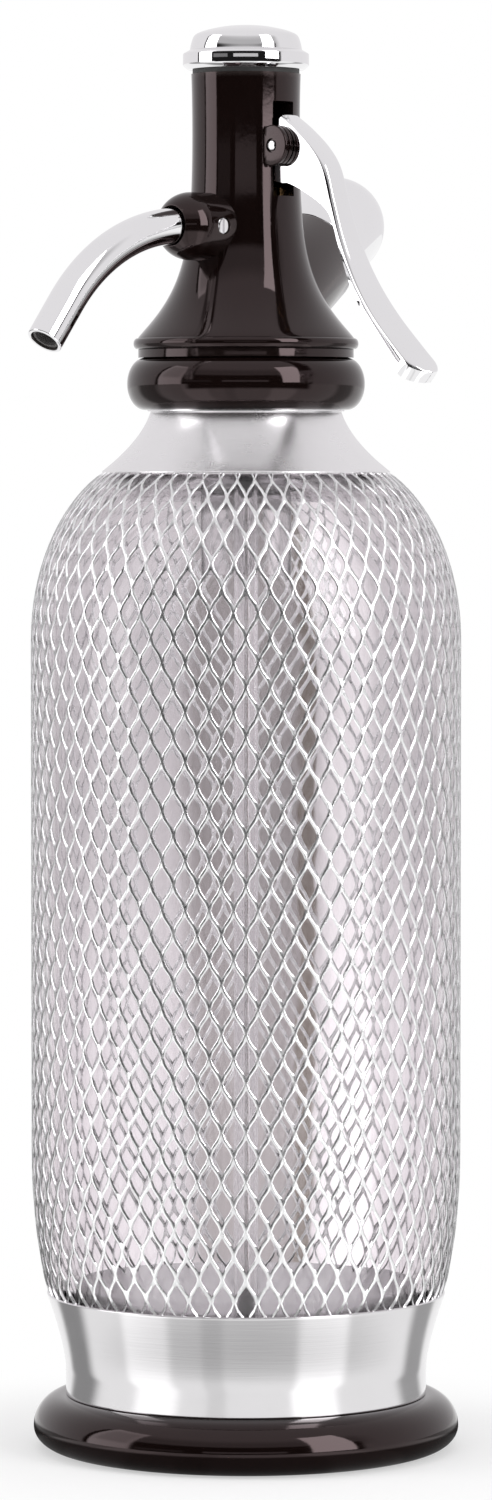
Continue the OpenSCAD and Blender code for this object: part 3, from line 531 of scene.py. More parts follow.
def sheet(outline, thickness):
    """A closed ring outline: the given outer line with a wall inside it and rounded rims"""
    inner = []
    for i, (r, z) in enumerate(outline):
        before, after = Vector(outline[max(i - 1, 0)]), Vector(outline[min(i + 1, len(outline) - 1)])
        along = (after - before).normalized()
        inner.append((r - along.y * thickness, z + along.x * thickness))
    rim = thickness * 0.35
    return [(*outline[0], rim), *outline[1:-1], (*outline[-1], rim),
            (*inner[-1], rim), *reversed(inner[1:-1]), (*inner[0], rim)]


skirt_levels = [foot_h + (skirt_top - foot_h) * i / 40 for i in range(41)]
skirt_line = [(skirt_at(z), z) for z in skirt_levels]
piece("base_collar_spun", spun(sheet(skirt_line, sheet_t), ring=True, steps=192),
      BASE_ALUMINIUM, "bottle", ["base_collar"])

# ---- Glass bottle ----
# A heavy pressure bottle of clear glass, 4.5 mm thick, with an ellipse at the foot and another at the
# shoulder. It is slightly wavy, as blown glass is.

CLEAR_GLASS = marked_material("clear_glass", 26, (0.94, 0.935, 0.945), (0.98, 0.975, 0.98),
                              rough=(0.0, 0.03), bump=(0.25, 0.0006), bump_from="Tone", IOR=1.5,
                              Transmission_Weight=1.0)
glass_r, glass_low, mouth_z = reach("glass_bottle")
glass_wall, side_low, side_high = 4.5, 70.0, 190.0
glass_foot_r, shoulder_in_r, glass_top = 25.2, 20.0, 232.7
neck_r, neck_bore_r = 17.2, 12.0


def bottle_line(wall, foot_z, crown_z):
    """Outline from the foot's edge to the top of the shoulder, drawn in by wall"""
    foot, crown = glass_foot_r - wall * 0.7, shoulder_in_r - wall * 0.67
    return (arc((foot, side_low), glass_r - wall - foot, side_low - foot_z, -90, 0, 28)
            + arc((crown, side_high), glass_r - wall - crown, crown_z - side_high, 0, 90, 28))


inner_low, inner_top = glass_low + glass_wall * 1.1, glass_top - glass_wall * 0.93
piece("glass_bottle_blown", spun(
    [(0, glass_low)] + bottle_line(0, glass_low, glass_top)
    + [(neck_r + 1.2, glass_top + 1.3, 1.5), (neck_r, glass_top + 3.8, 2), (neck_r, mouth_z, 0.8),
       (neck_bore_r, mouth_z, 0.8), (neck_bore_r, inner_top + 5.5, 2), (neck_bore_r + 1, inner_top + 2.5)]
    + bottle_line(glass_wall, inner_low, inner_top)[::-1] + [(0, inner_low)], steps=144),
    CLEAR_GLASS, "bottle", ["glass_bottle"], sharp=60)

# ---- Mesh sleeve ----
# Aluminium sheet, slit and stretched to a net of fine diamonds, drawn tightly over the glass. Each strand
# is a narrow strip, slightly tipped, and both ends of the net are tucked under the collars.

diamonds_round, diamonds_high = 56, 18
strand_w, strand_t, strand_tip, strand_ridge = 0.86, 0.3, 0.1, 0.34
strand_wave, strand_swell, knot_share = 0.6, 0.3, 0.28
net_out, net_end_out, net_end_share = 1.2, 0.9, 0.03
net_low, net_top = 34.8, 230.3
MESH_ALUMINIUM = marked_material("mesh_aluminium", 90, (0.8, 0.8, 0.81), (0.92, 0.92, 0.925),
                                 rough=(0.24, 0.36), bump=(0.12, 0.00005), Metallic=1.0)


def net_line():
    """Points up the outside of the glass between the collars, with the length up to each"""
    low = math.degrees(math.asin((net_low - side_low) / (side_low - glass_low)))
    top = math.degrees(math.asin((net_top - side_high) / (glass_top - side_high)))
    points = (arc((glass_foot_r, side_low), glass_r - glass_foot_r, side_low - glass_low, low, 0, 24)
              + arc((shoulder_in_r, side_high), glass_r - shoulder_in_r, glass_top - side_high, 0, top, 40))
    points = [Vector(p) for p in points]
    lengths = [0.0]
    for a, b in zip(points, points[1:]):
        lengths.append(lengths[-1] + (b - a).length)
    return points, lengths


def strand_at(t):
    """Sideways share of a strand at share t of its height: it leaves each knot nearly upright"""
    return t - strand_wave * math.sin(math.tau * t) / math.tau


def vertices(geometry):
    return [part for part in geometry if isinstance(part, bmesh.types.BMVert)]


def make_diamond():
    """One hole of the flat net with its half of each strand, 1 wide and 1 high. The strand's middle is a
    ridge, and the hole's rim lies lower."""
    bm = bmesh.new()
    ridge = bmesh.ops.create_circle(bm, radius=1, segments=12)["verts"]
    rim = vertices(bmesh.ops.extrude_edge_only(bm, edges=bm.edges[:])["geom"])
    half_w = strand_w / 2 * diamonds_round / (math.tau * glass_r)
    for vert in rim + ridge:
        from_top = abs(math.atan2(vert.co.x, abs(vert.co.y))) / (math.pi / 2)
        side, end = math.copysign(1, vert.co.x), math.copysign(1, vert.co.y)
        if vert in rim:
            y = (1 - from_top) * (1 - knot_share) / 2
            swell = 1 + strand_swell * math.sin(math.pi * from_top)
            x = max(strand_at(1 - 2 * y) / 2 - half_w * swell, 0)
            vert.co = (side * x, end * y, end * strand_tip * (1 - from_top) - strand_ridge)
        else:
            vert.co = (side * strand_at(from_top) / 2, end * (1 - from_top) / 2, 0)
    return bm


def repeat(bm, count, shift):
    """Copies all that bm holds count times, the i-th copy moved by shift(i)"""
    first = bm.verts[:] + bm.edges[:] + bm.faces[:]
    for i in range(1, count):
        copy = bmesh.ops.duplicate(bm, geom=first)["geom"]
        bmesh.ops.translate(bm, vec=shift(i), verts=vertices(copy))


def drape(bm):
    """Wraps the flat net round the glass: x goes round it, y runs up its side and z stands out from it"""
    points, lengths = net_line()
    for vert in bm.verts:
        share = min(max(vert.co.y / diamonds_high, 0), 1)
        s = share * lengths[-1]
        k = next(i for i in range(1, len(points)) if lengths[i] >= s - 1e-9)
        t = (s - lengths[k - 1]) / max(lengths[k] - lengths[k - 1], 1e-9)
        at = points[k - 1].lerp(points[k], t)
        before, after = points[max(k - 2, 0)], points[min(k + 1, len(points) - 1)]
        up = (after - before).normalized()
        end = min(share, 1 - share) / net_end_share
        out = net_end_out + (net_out - net_end_out) * min(end, 1) + vert.co.z
        r, z = at.x + up.y * out, at.y - up.x * out
        turn = vert.co.x / diamonds_round * math.tau
        vert.co = (r * math.cos(turn), r * math.sin(turn), z)


def make_net():
    bm = make_diamond()
    repeat(bm, diamonds_round, lambda i: (i, 0, 0))
    bmesh.ops.translate(bm, vec=(0, 0.5, 0), verts=bm.verts)
    repeat(bm, 2 * diamonds_high - 1, lambda j: (j % 2 / 2, j / 2, 0))
    drape(bm)
    return cleaned(bm, 0.02)


def walled(made, thickness):
    """Gives a piece its wall, inwards from the surface that was modelled"""
    wall = made.modifiers.new("wall", "SOLIDIFY")
    wall.thickness, wall.offset = thickness * MM, -1
    return wall


net = piece("mesh_net", make_net(), MESH_ALUMINIUM, "bottle", ["mesh_sleeve"], sharp=181)
walled(net, strand_t)

# ---- Shoulder collar and neck sleeve ----
# The collar is spun from the same sheet as the one below, and the sleeve's flange holds it down. The
# sleeve is crimped on the glass, and the head's ring screws on it.

collar_low_r, collar_low, collar_top = reach("shoulder_collar")
collar_top_r, neck_gap = 22.3, 0.4


def collar_at(t):
    """Outer radius of the collar at share t of its height, partly a cone and partly a curve"""
    return collar_top_r + (collar_low_r - collar_top_r) * (0.35 * (1 - t) + 0.65 * (1 - t) ** 1.9)


collar_line = [(collar_at(i / 40), collar_low + (collar_top - collar_low) * i / 40) for i in range(41)]
piece("shoulder_collar_spun", spun(
    sheet(collar_line + [(neck_r + neck_gap, collar_top)], sheet_t), ring=True, steps=192),
    SHOULDER_ALUMINIUM, "bottle", ["shoulder_collar"])
dress(SHOULDER_ALUMINIUM, "neck_sleeve")

# ---- Siphon tube, measuring tube and tube holder ----
# Drawn tubes of clear plastic. The siphon tube hangs from the head to the foot of the bottle, and the
# measuring tube in its mouth sets how full it can be.

CLEAR_PLASTIC = marked_material("clear_plastic", 120, (0.93, 0.925, 0.93), (0.98, 0.975, 0.98),
                                rough=(0.02, 0.08), bump=(0.08, 0.0001), IOR=1.4, Transmission_Weight=1.0)
tube_edge = 0.2


def tube(outer, wall, low, high):
    return [(outer - wall, low, tube_edge), (outer, low, tube_edge), (outer, high, tube_edge),
            (outer - wall, high, tube_edge)]


siphon_wall = 0.85
siphon_r, siphon_low, siphon_top = reach("siphon_tube")
piece("siphon_tube_drawn", spun(tube(siphon_r, siphon_wall, siphon_low, siphon_top), ring=True, steps=48),
      CLEAR_PLASTIC, "head", ["siphon_tube"])
lip_r, measure_low, measure_top = reach("measuring_tube")
measure_r, measure_wall, lip_t = 10.6, 0.8, 0.7
measure_line = tube(measure_r, measure_wall, measure_low, measure_top)
measure_line[2:3] = [(measure_r, measure_top - lip_t), (lip_r, measure_top - lip_t, tube_edge),
                     (lip_r, measure_top, tube_edge)]
piece("measuring_tube_drawn", spun(measure_line, ring=True, steps=96),
      CLEAR_PLASTIC, "bottle", ["measuring_tube"])
dress(CLEAR_PLASTIC, "tube_holder")

# ---- Neck ring ----
# The bulged ring of black plastic that screws the head to the neck sleeve. It is one moulding, and its
# underside is hollowed for the top of the shoulder collar.

ring_r, ring_low, head_z = reach("neck_ring")
ring_bulge, ring_top = 4.2, head_z - 2.0
ring_bore, ring_recess, band_r, ring_edge = 20.5, 23.3, 25.2, 0.2
recess_top = collar_top + 1.1
ring_middle = (ring_r - ring_bulge, (ring_low + ring_top) / 2)
piece("neck_ring_moulded", spun(
    arc(ring_middle, ring_bulge, (ring_top - ring_low) / 2, -90, 90, 40)
    + [(band_r, ring_top), (band_r, head_z, ring_edge), (ring_bore, head_z, 0.3),
       (ring_bore, recess_top, ring_edge), (ring_recess, recess_top, ring_edge),
       (ring_recess, ring_low, ring_edge)], ring=True, steps=192),
    BLACK_PLASTIC, "head", ["neck_ring"])

# ---- Head ----
# One black moulding: a column that flares to a flange, a round boss for the nozzle, two ears for the
# lever's pin, a slot for the lever and a sloping socket for the charger.

head_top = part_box("head_body")[1].z / MM
flange_r, flange_t, flange_edge = 26.3, 2.5, 0.8
column_r, column_taper, flare_w, flare_h = 12.4, 0.35, 12.9, 11.5
nozzle_z, boss_r, boss_u, mouth_r = 286.2, 7.9, 18.2, 4.8
boss_end = boss_u + math.sqrt(boss_r ** 2 - mouth_r ** 2)
bend_start = boss_end - 3.9
nozzle_r, nozzle_wall, tube_start, seal_start, water_way_r = 4.2, 0.9, 9.2, 7.6, 2.8
pivot_u, pivot_z, pin_r, pin_dimple = 13.9, 304.8, 1.2, 0.45
ear_r, ear_w, ear_groove, ear_rim, ear_root, ear_slope = 4.75, 11.4, 0.5, 1.1, 0.8, 0.2
slot_w, slot_low, slot_high, slot_long = 6.7, 293.4, 315.3, 30
well_r, well_z, chamber_r, seat_z, channel_r = 8.5, 291.0, 5.0, 281.0, 2.0
plug_r, plug_h = 4.8, 2.8
screw_u, screw_r, screw_gap = 14.9, 1.85, 0.12
pin_drill, nozzle_drill, mouth_drill, screw_drill = 9, 30, 32, 14
charger_z, charger_az, charger_tilt = 262.9, 23.0, 24.0
socket_r, socket_start, socket_end, socket_wall, socket_deep = 12.2, 14, 41.6, 1.0, 13.6
needle_r, needle_start, valve_room_r, valve_start, valve_end = 3.1, 5.3, 5, 6.1, 15.4
charger_bore_r, charger_bore_start = 9.9, 21.4


def turned(degrees, axis):
    return Matrix.Rotation(math.radians(degrees), 4, axis)


UPRIGHT = Matrix.Identity(4)
TO_NOZZLE = Matrix.Translation((0, 0, nozzle_z)) @ turned(-90, "Y")
TO_PIVOT = Matrix.Translation((0, -pivot_u, pivot_z)) @ turned(90, "Y")
TO_SCREW = Matrix.Translation((-screw_u, 0, nozzle_z)) @ turned(90, "X")
TO_CHARGER = (Matrix.Translation((0, 0, charger_z)) @ turned(charger_az, "Z")
              @ turned(90 - charger_tilt, "Y"))


def head_at(z):
    """Outer radius of the head: a column with a slight taper and a foot that flares out"""
    rise = max(z - head_z - flange_t, 0)
    return (column_r + flare_w * math.exp(-((rise / flare_h) ** 1.15))
            + column_taper * ((z - head_z) / (head_top - head_z)) ** 6)


def as_object(name, bm, place=UPRIGHT):
    """A helper object in millimetres with its faces outwards, for cutting and joining"""
    bmesh.ops.transform(bm, matrix=place, verts=bm.verts)
    bmesh.ops.recalc_face_normals(bm, faces=bm.faces)
    return mesh_object(name, bm)


def combine(base, others, operation):
    """Joins to, or cuts from, base each of the other helper objects, which are then deleted"""
    for other in others:
        step = base.modifiers.new("step", "BOOLEAN")
        step.operation, step.object, step.solver = operation, other, "MANIFOLD"
        done = bpy.data.meshes.new_from_object(base.evaluated_get(bpy.context.evaluated_depsgraph_get()))
        base.modifiers.clear()
        base.data = done
        bpy.data.objects.remove(other)


def rod(radius, low, high, steps=64):
    return spun([(0, low), (radius, low), (radius, high), (0, high)], steps=steps)


def block(size, middle):
    bm = bmesh.new()
    bmesh.ops.create_cube(bm, size=1)
    bmesh.ops.scale(bm, vec=size, verts=bm.verts)
    bmesh.ops.translate(bm, vec=middle, verts=bm.verts)
    return bm


def as_bmesh(helper):
    """The mesh of a helper object, which is then deleted"""
    bm = bmesh.new()
    bm.from_mesh(helper.data)
    bpy.data.objects.remove(helper)
    return bm


def head_outside():
    """The column on its flange, joined to the boss, the socket and the ears, each ear with a groove"""
    foot_top = head_z + flange_t
    levels = [foot_top + (head_top - foot_top) * (i / 70) ** 1.5 for i in range(71)]
    rim_r = flange_r - flange_edge
    rim = arc((rim_r, head_z + flange_t / 2), flange_edge, flange_t / 2, -90, 90, 12)
    column = spun([(0, head_z)] + rim + [(head_at(z), z) for z in levels] + [(0, head_top)], steps=192)
    mouth_turn = math.degrees(math.acos(mouth_r / boss_r))
    boss = spun([(0, 0), (boss_r, 0)] + arc((0, boss_u), boss_r, boss_r, 0, mouth_turn, 18)
                + [(0, boss_end)], steps=128)
    socket = as_object("socket", spun(
        [(0, socket_start), (socket_r, socket_start), (socket_r, socket_end, 0.8), (0, socket_end)],
        steps=128), TO_CHARGER)
    combine(socket, [as_object("under", block((200, 200, 60), (0, 0, head_z - 30)))], "DIFFERENCE")
    groove_r = ear_r - ear_groove
    ear = [(ear_r, ear_w / 2, 0.35), (ear_r, ear_w / 2 - ear_rim, 0.2),
           (groove_r, ear_w / 2 - ear_rim - ear_slope, 0.1),
           (groove_r, slot_w / 2 + ear_root + ear_slope, 0.1), (ear_r, slot_w / 2 + ear_root, 0.2)]
    ears = spun([(0, -ear_w / 2)] + [(r, -x, round_r) for r, x, round_r in ear] + ear[::-1]
                + [(0, ear_w / 2)], steps=96)
    shell = as_object("head_shell", column)
    combine(shell, [as_object("boss", boss, TO_NOZZLE), socket, as_object("ears", ears, TO_PIVOT)], "UNION")
    return shell


def head_bores():
    """What is cut from the head: slot, cap's well, valve and water ways, socket, nozzle, screw and pin. Each
    runs on past what it opens."""
    slot = block((slot_w, slot_long, slot_high - slot_low), (0, -slot_long / 2, (slot_low + slot_high) / 2))
    bmesh.ops.bevel(slot, geom=slot.edges[:], offset=0.25, offset_type="OFFSET", segments=2, profile=0.5,
                    affect="EDGES", material=-1)
    thread_start = socket_end - socket_deep
    socket_bore = spun(
        [(0, needle_start), (needle_r, needle_start), (needle_r, valve_start), (valve_room_r, valve_start),
         (valve_room_r, valve_end), (charger_bore_r, charger_bore_start), (charger_bore_r, thread_start),
         (socket_r - socket_wall, thread_start), (socket_r - socket_wall, socket_end + 1),
         (0, socket_end + 1)], steps=128)
    bores = (
        (slot, UPRIGHT),
        (rod(well_r, well_z, head_top + 2), UPRIGHT),
        (rod(chamber_r, seat_z, well_z + 1), UPRIGHT),
        (rod(channel_r, head_z - 1, seat_z + 1), UPRIGHT),
        (rod(plug_r, head_z - 1, head_z + plug_h), UPRIGHT),
        (socket_bore, TO_CHARGER),
        (rod(water_way_r, 0, tube_start), TO_NOZZLE),
        (rod(nozzle_r - 0.15, seal_start, nozzle_drill), TO_NOZZLE),
        (rod(mouth_r - 0.1, bend_start, mouth_drill), TO_NOZZLE),
        (rod(screw_r + screw_gap, 0, screw_drill), TO_SCREW),
        (rod(pin_r + 0.02, -pin_drill, pin_drill), TO_PIVOT),
        (rod(pin_r + pin_dimple, ear_w / 2 - 0.5, pin_drill), TO_PIVOT),
        (rod(pin_r + pin_dimple, -pin_drill, -ear_w / 2 + 0.5), TO_PIVOT),
    )
    return [as_object("bore", bore, place) for bore, place in bores]


def make_head():
    shell = head_outside()
    combine(shell, head_bores(), "DIFFERENCE")
    bm = as_bmesh(shell)
    bmesh.ops.dissolve_degenerate(bm, dist=0.002, edges=bm.edges)
    return bm


piece("head_moulded", make_head(), BLACK_PLASTIC, "head", ["head_body"], sharp=24)

# ---- Nozzle: tube, liner and grub screw ----
# A bent brass tube, polished and chromed, held in the boss by a slotted grub screw. A pale plastic liner
# sits in its outlet, coloured dark grey as painted shade inside the outlet.

CHROME = marked_material("chrome", 40, (0.82, 0.815, 0.825), (0.88, 0.875, 0.885), rough=(0.03, 0.08),
                         bump=(0.02, 0.00004), Metallic=1.0)
# The tube's inside is coloured near black: painted shade in the bore
BORE_METAL_PAINTED_SHADE = marked_material("nozzle_bore_painted_shade", 140, (0.03, 0.026, 0.024), (0.07, 0.062, 0.056),
                             rough=(0.45, 0.65), bump=(0.15, 0.0001), Metallic=0.6)
# The liner is coloured dark grey: painted shade inside the outlet, though it is pale plastic
LINER_PLASTIC_PAINTED_SHADE = marked_material("white_plastic", 90, (0.08, 0.077, 0.075), (0.13, 0.126, 0.122),
                                rough=(0.35, 0.5), bump=(0.1, 0.0001))
bend_r, bend_deg, spout_len = 47.0, 52.5, 11.0
liner_wall, liner_gap, liner_inset = 0.7, 0.02, 0.6
bend_middle = Vector((-bend_start, 0, nozzle_z - bend_r))
TO_SPOUT = (Matrix.Translation(bend_middle) @ turned(-bend_deg, "Y") @ Matrix.Translation((0, 0, bend_r))
            @ turned(-90, "Y"))


def make_nozzle():
    """Straight through the boss, round the bend and straight to the outlet; walls come from Solidify"""
    bm = bmesh.new()
    ring = bmesh.ops.create_circle(bm, radius=nozzle_r, segments=64)["verts"]
    bmesh.ops.transform(bm, verts=ring, matrix=TO_NOZZLE @ Matrix.Translation((0, 0, tube_start)))
    loop = bm.edges[:]

    def onward(edges, shift):
        grown = bmesh.ops.extrude_edge_only(bm, edges=edges)["geom"]
        bmesh.ops.translate(bm, vec=shift, verts=vertices(grown))
        return [part for part in grown if isinstance(part, bmesh.types.BMEdge)]

    loop = onward(loop, (tube_start - bend_start, 0, 0))
    bent = bmesh.ops.spin(bm, geom=loop, cent=bend_middle, axis=(0, -1, 0), angle=math.radians(bend_deg),
                          steps=36)["geom_last"]
    loop = [part for part in bent if isinstance(part, bmesh.types.BMEdge)]
    onward(loop, turned(-bend_deg, "Y").to_3x3() @ Vector((-spout_len, 0, 0)))
    bmesh.ops.recalc_face_normals(bm, faces=bm.faces)
    return bm


def softened(made, width, segments):
    """Rounds a piece's sharp edges"""
    edge = made.modifiers.new("edge", "BEVEL")
    edge.width, edge.segments, edge.limit_method = width * MM, segments, "ANGLE"


spout = piece("nozzle_tube_bent", make_nozzle(), CHROME, "head", ["nozzle_tube"])
spout.data.materials.append(BORE_METAL_PAINTED_SHADE)
walled(spout, nozzle_wall).material_offset = 1
softened(spout, 0.22, 3)

liner_r = nozzle_r - nozzle_wall - liner_gap
liner = tube(liner_r, liner_wall, liner_inset, spout_len - liner_inset)
piece("nozzle_liner_tube", spun(liner, ring=True, steps=48), LINER_PLASTIC_PAINTED_SHADE, "head",
      ["nozzle_liner"], TO_SPOUT)


def make_screw():
    """A grub screw, sunk a little below the boss, with a slot for a blade"""
    screw_top = boss_r - 0.35
    screw = as_object("screw", spun([(0, nozzle_r), (screw_r, nozzle_r), (screw_r, screw_top, 0.25),
                                     (0, screw_top)], steps=48))
    combine(screw, [as_object("slot", block((0.6, 6, 2), (0, 0, boss_r)))], "DIFFERENCE")
    return as_bmesh(screw)


piece("nozzle_screw_slotted", make_screw(), CHROME, "head", ["nozzle_screw"], TO_SCREW)

# ---- Valve: stem, guide, spring and piercing pin ----
# Turned brass and spring steel inside the head, out of sight until the cap comes off. The lever lifts the
# stem against the spring, and the hollow pin opens the charger.

BRASS = marked_material("turned_brass", 120, (0.6, 0.42, 0.17), (0.74, 0.55, 0.26), rough=(0.22, 0.4),
                        bump=(0.1, 0.00006), Metallic=1.0)
PLAIN_STEEL = marked_material("plain_steel", 100, (0.5, 0.51, 0.52), (0.62, 0.63, 0.64),
                              rough=(0.2, 0.36), bump=(0.1, 0.00006), Metallic=1.0)
dress(BRASS, "valve_stem", "stem_guide")
dress(PLAIN_STEEL, "piercing_pin")

spring_wire, spring_r, spring_turns, turn_steps = 0.9, 4.3, 6, 24
spring_low, spring_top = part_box("valve_spring")


def make_spring():
    """One wire, wound evenly from the stem's flange to the roof of the cap"""
    steps = spring_turns * turn_steps
    climb = (spring_top.z - spring_low.z) / MM - spring_wire
    upright = Matrix.Translation((spring_r, 0, spring_low.z / MM + spring_wire / 2)) @ turned(90, "X")
    bm = bmesh.new()
    bmesh.ops.create_circle(bm, radius=spring_wire / 2, segments=12, matrix=upright)
    bmesh.ops.spin(bm, geom=bm.verts[:] + bm.edges[:], cent=(0, 0, 0), axis=(0, 0, 1), steps=steps,
                   dvec=(0, 0, climb / steps), angle=spring_turns * math.tau)
    bmesh.ops.holes_fill(bm, edges=[edge for edge in bm.edges if edge.is_boundary])
    bmesh.ops.recalc_face_normals(bm, faces=bm.faces)
    return bm


# The spring rides on no body, and its place is baked into its mesh.
spring = piece("valve_spring_wound", make_spring(), PLAIN_STEEL, None, ["valve_spring"],
               sharp=60)
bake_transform(spring)

# ---- Gas charger ----
# A drawn steel bulb of gas with a narrow neck, bought as a refill. It lies in its holder, with its neck to
# the pin that opens it.

charger_start, charger_len, charger_r = 7.2, 65.5, 9.3
charger_neck_r, charger_neck, charger_slope = 4.4, 8.8, 6
gas_hole_r, gas_hole_deep = 1.1, 4.3
neck_end = charger_start + charger_neck
charger_line = [(0, charger_start + gas_hole_deep), (gas_hole_r, charger_start + gas_hole_deep),
                (gas_hole_r, charger_start, 0.2), (charger_neck_r, charger_start, 0.4),
                (charger_neck_r, neck_end, 1.5), (charger_r, neck_end + charger_slope, 5)]
charger_line += arc((0, charger_start + charger_len - charger_r), charger_r, charger_r, 0, 90, 24)
piece("gas_charger_drawn", spun(charger_line, steps=96), PLAIN_STEEL, "charger_holder",
      ["gas_charger"], TO_CHARGER, sharp=50)

# ---- Charger holder ----
# A deep-drawn sleeve with a round end, chromed. Its thread goes into the head's socket and presses the
# charger on to the pin.

holder_r, holder_spigot, holder_gap, holder_end_t = 12.0, 12.1, 0.3, 1.6
holder_tip = charger_start + charger_len + holder_gap
holder_inner = charger_r + 0.4
holder_ball = holder_tip + holder_end_t - holder_r
thread_r, thread_deep, thread_step, thread_first = socket_r - socket_wall - holder_gap, 0.35, 0.6, 1.2
spigot_start, holder_face = socket_end - holder_spigot, socket_end + holder_gap
threads = [(thread_r - (thread_deep if i % 2 else 0), spigot_start + thread_first + i * thread_step)
           for i in range(16)]
piece("charger_holder_drawn", spun(
    [(holder_inner, spigot_start), (thread_r - 0.6, spigot_start)] + threads
    + [(thread_r - 0.3, holder_face), (holder_r, holder_face, 0.5)]
    + arc((0, holder_ball), holder_r, holder_r, 0, 90, 40)
    + arc((0, holder_tip - holder_inner), holder_inner, holder_inner, 90, 0, 30), ring=True, steps=160),
    CHROME, "charger_holder", ["charger_holder"], TO_CHARGER)

# ---- Lever and its pin ----
# Pressed steel strip, chromed: a curved top plate with a web folded down each side, and a rounded tail.
# Inside the head the webs end in knuckles that lift the valve stem.

lever_w, tail_w, lever_t, knuckle_r = 6.2, 9.5, 0.9, 2.2
fold_r, crown_h, widen_from, widen_over, web_inset = 1.1, 0.1, 12, 38, 0.02
back_points = [(14.6, 311.9), (19.4, 308.8), (24.9, 304.3), (28.6, 299.4), (31.1, 291.8), (34.2, 283.4),
               (39.2, 274), (45.4, 265.8), (53.4, 257.8), (59.9, 252)]
edge_points = [(13, 296.6), (17.8, 295.8), (25.6, 292.1), (30.2, 288.4), (33, 282), (38, 271.4), (45, 262),
               (52, 253.4), (54.4, 251), (57.6, 249.6)]


def smooth_line(points, steps):
    """Points of a smooth curve through the given ones"""
    made = []
    for i in range(len(points) - 1):
        a, b = Vector(points[max(i - 1, 0)]), Vector(points[i])
        c, d = Vector(points[i + 1]), Vector(points[min(i + 2, len(points) - 1)])
        for k in range(steps):
            t = k / steps
            made.append(0.5 * (2 * b + (c - a) * t + (2 * a - 5 * b + 4 * c - d) * t * t
                               + (3 * b - a - 3 * c + d) * t ** 3))
    return made + [Vector(points[-1])]


def lever_half(z):
    """Half the lever's width, which grows smoothly towards the tail"""
    t = min(max((pivot_z - z - widen_from) / widen_over, 0), 1)
    return lever_w / 2 + (tail_w - lever_w) / 2 * t * t * (3 - 2 * t)


def web_edge(top, along, edge, start):
    """The place on the web's edge that lies square below a point of the plate, from number start on"""
    square = [abs((point - top).dot(along)) for point in edge[start:]]
    return start + square.index(min(square))


def lever_plate():
    """The channel: a row of U-shaped sections from the head to the tail. They narrow over the last stretch,
    so that the web runs on round the tail."""
    back, edge = smooth_line(back_points, 8), smooth_line(edge_points, 8)
    bm = bmesh.new()
    rows = []
    last, at = len(back) - 1, 0
    for i, top in enumerate(back):
        along = (back[min(i + 1, last)] - back[max(i - 1, 0)]).normalized()
        down = Vector((along.y, -along.x))
        at = len(edge) - 1 if i == last else web_edge(top, along, edge, at)
        foot = edge[at]
        to_tail = (top - back[-1]).length
        round_off = math.sqrt(max(1 - (max(tail_w / 2 - to_tail, 0) / (tail_w / 2)) ** 2, 0.0))
        half = max(lever_half(top.y) * round_off, 0.1)
        bend = min(fold_r, half * 0.7)
        side = [foot, foot.lerp(top + down * bend, 0.5), top + down * bend]
        section = [(-half, at_side) for at_side in side]
        section += [(-half + bend - bend * math.cos(a), top + down * (bend - bend * math.sin(a)))
                    for a in (math.radians(15 * k) for k in range(1, 7))]
        section += [(-half * 0.4, top - down * crown_h * 0.8), (0, top - down * crown_h)]
        section += [(-x, point) for x, point in section[-2::-1]]
        rows.append([bm.verts.new((x, -point.x, point.y)) for x, point in section])
    for near, far in zip(rows, rows[1:]):
        for k in range(len(near) - 1):
            bm.faces.new((near[k], near[k + 1], far[k + 1], far[k]))
    return cleaned(bm, 0.02)


lever = piece("lever_pressed", lever_plate(), CHROME, "lever", ["lever"], sharp=60)
walled(lever, lever_t)
softened(lever, 0.2, 2)


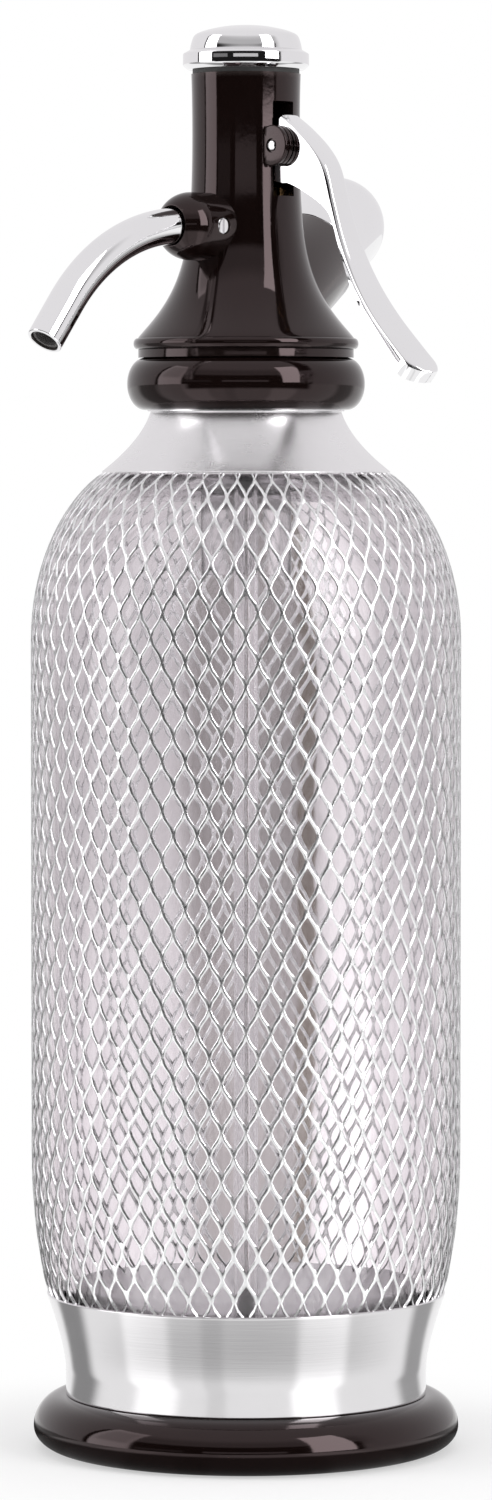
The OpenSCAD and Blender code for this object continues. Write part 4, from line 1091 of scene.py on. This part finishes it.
def lever_arm():
    """One web inside the head: from the pin to the knuckle under the stem's flange"""
    outline = [(13.2, pivot_z + 4.8), (10.6, pivot_z + 2.9), (7.4, pivot_z + 3),
               (5.4, pivot_z + knuckle_r)]
    outline += arc((0, pivot_z), knuckle_r, knuckle_r, 90, 280, 12)
    outline += [(1.5, pivot_z - knuckle_r + 0.4), (8, pivot_z - 5.8), edge_points[0], (15.2, 296.2),
                (16.5, 303), (15, 310.6)]
    bm = bmesh.new()
    face = bm.faces.new([bm.verts.new((0, -u, z)) for u, z in outline])
    grown = bmesh.ops.extrude_face_region(bm, geom=[face])["geom"]
    bmesh.ops.translate(bm, vec=(lever_t, 0, 0), verts=vertices(grown))
    return bm


web_x = lever_w / 2 - web_inset
for side, start in (("left", -web_x), ("right", web_x - lever_t)):
    arm = as_object("arm", lever_arm(), Matrix.Translation((start, 0, 0)))
    combine(arm, [as_object("pin_hole", rod(pin_r + 0.05, -pin_drill, pin_drill), TO_PIVOT)], "DIFFERENCE")
    piece("lever_web_" + side, as_bmesh(arm), CHROME, "lever")

pin_half = ear_w / 2 + 0.1
pin_line = [(0, -pin_half), (pin_r, -pin_half, 0.3), (pin_r, pin_half, 0.3), (0, pin_half)]
piece("lever_pin_domed", spun(pin_line, steps=48), CHROME, "head", ["lever_pin"], TO_PIVOT)

# ---- Cap ----
# A turned and chromed screw cap with a plain rim and a low crown. Its spigot goes down into the head's
# well and holds the spring.

cap_rim_r, spigot_low, cap_top = reach("cap")
cap_low, rim_top, cap_roof = 323.0, 326.7, cap_top - 3.4
spigot_r, spigot_wall = well_r - 0.3, 2.2
rim_r = cap_rim_r - 0.2
crown = smooth_line([(13.1, 327.6), (12.75, 329.3), (12.1, 330.9), (10.8, 331.7), (8.5, 332.4),
                     (4.5, 333.15), (0, 333.35)], 6)
spigot_in = spigot_r - spigot_wall
piece("cap_turned", spun(
    [(spigot_r, spigot_low, 0.3), (spigot_r, cap_low), (rim_r - 1.2, cap_low, 0.5),
     (rim_r, cap_low + 1, 0.6), (rim_r, rim_top, 0.4)] + [tuple(point) for point in crown]
    + [(0, cap_roof), (spigot_in, cap_roof, 0.4), (spigot_in, spigot_low, 0.3)], steps=192),
    CHROME, "cap", ["cap"], sharp=40)
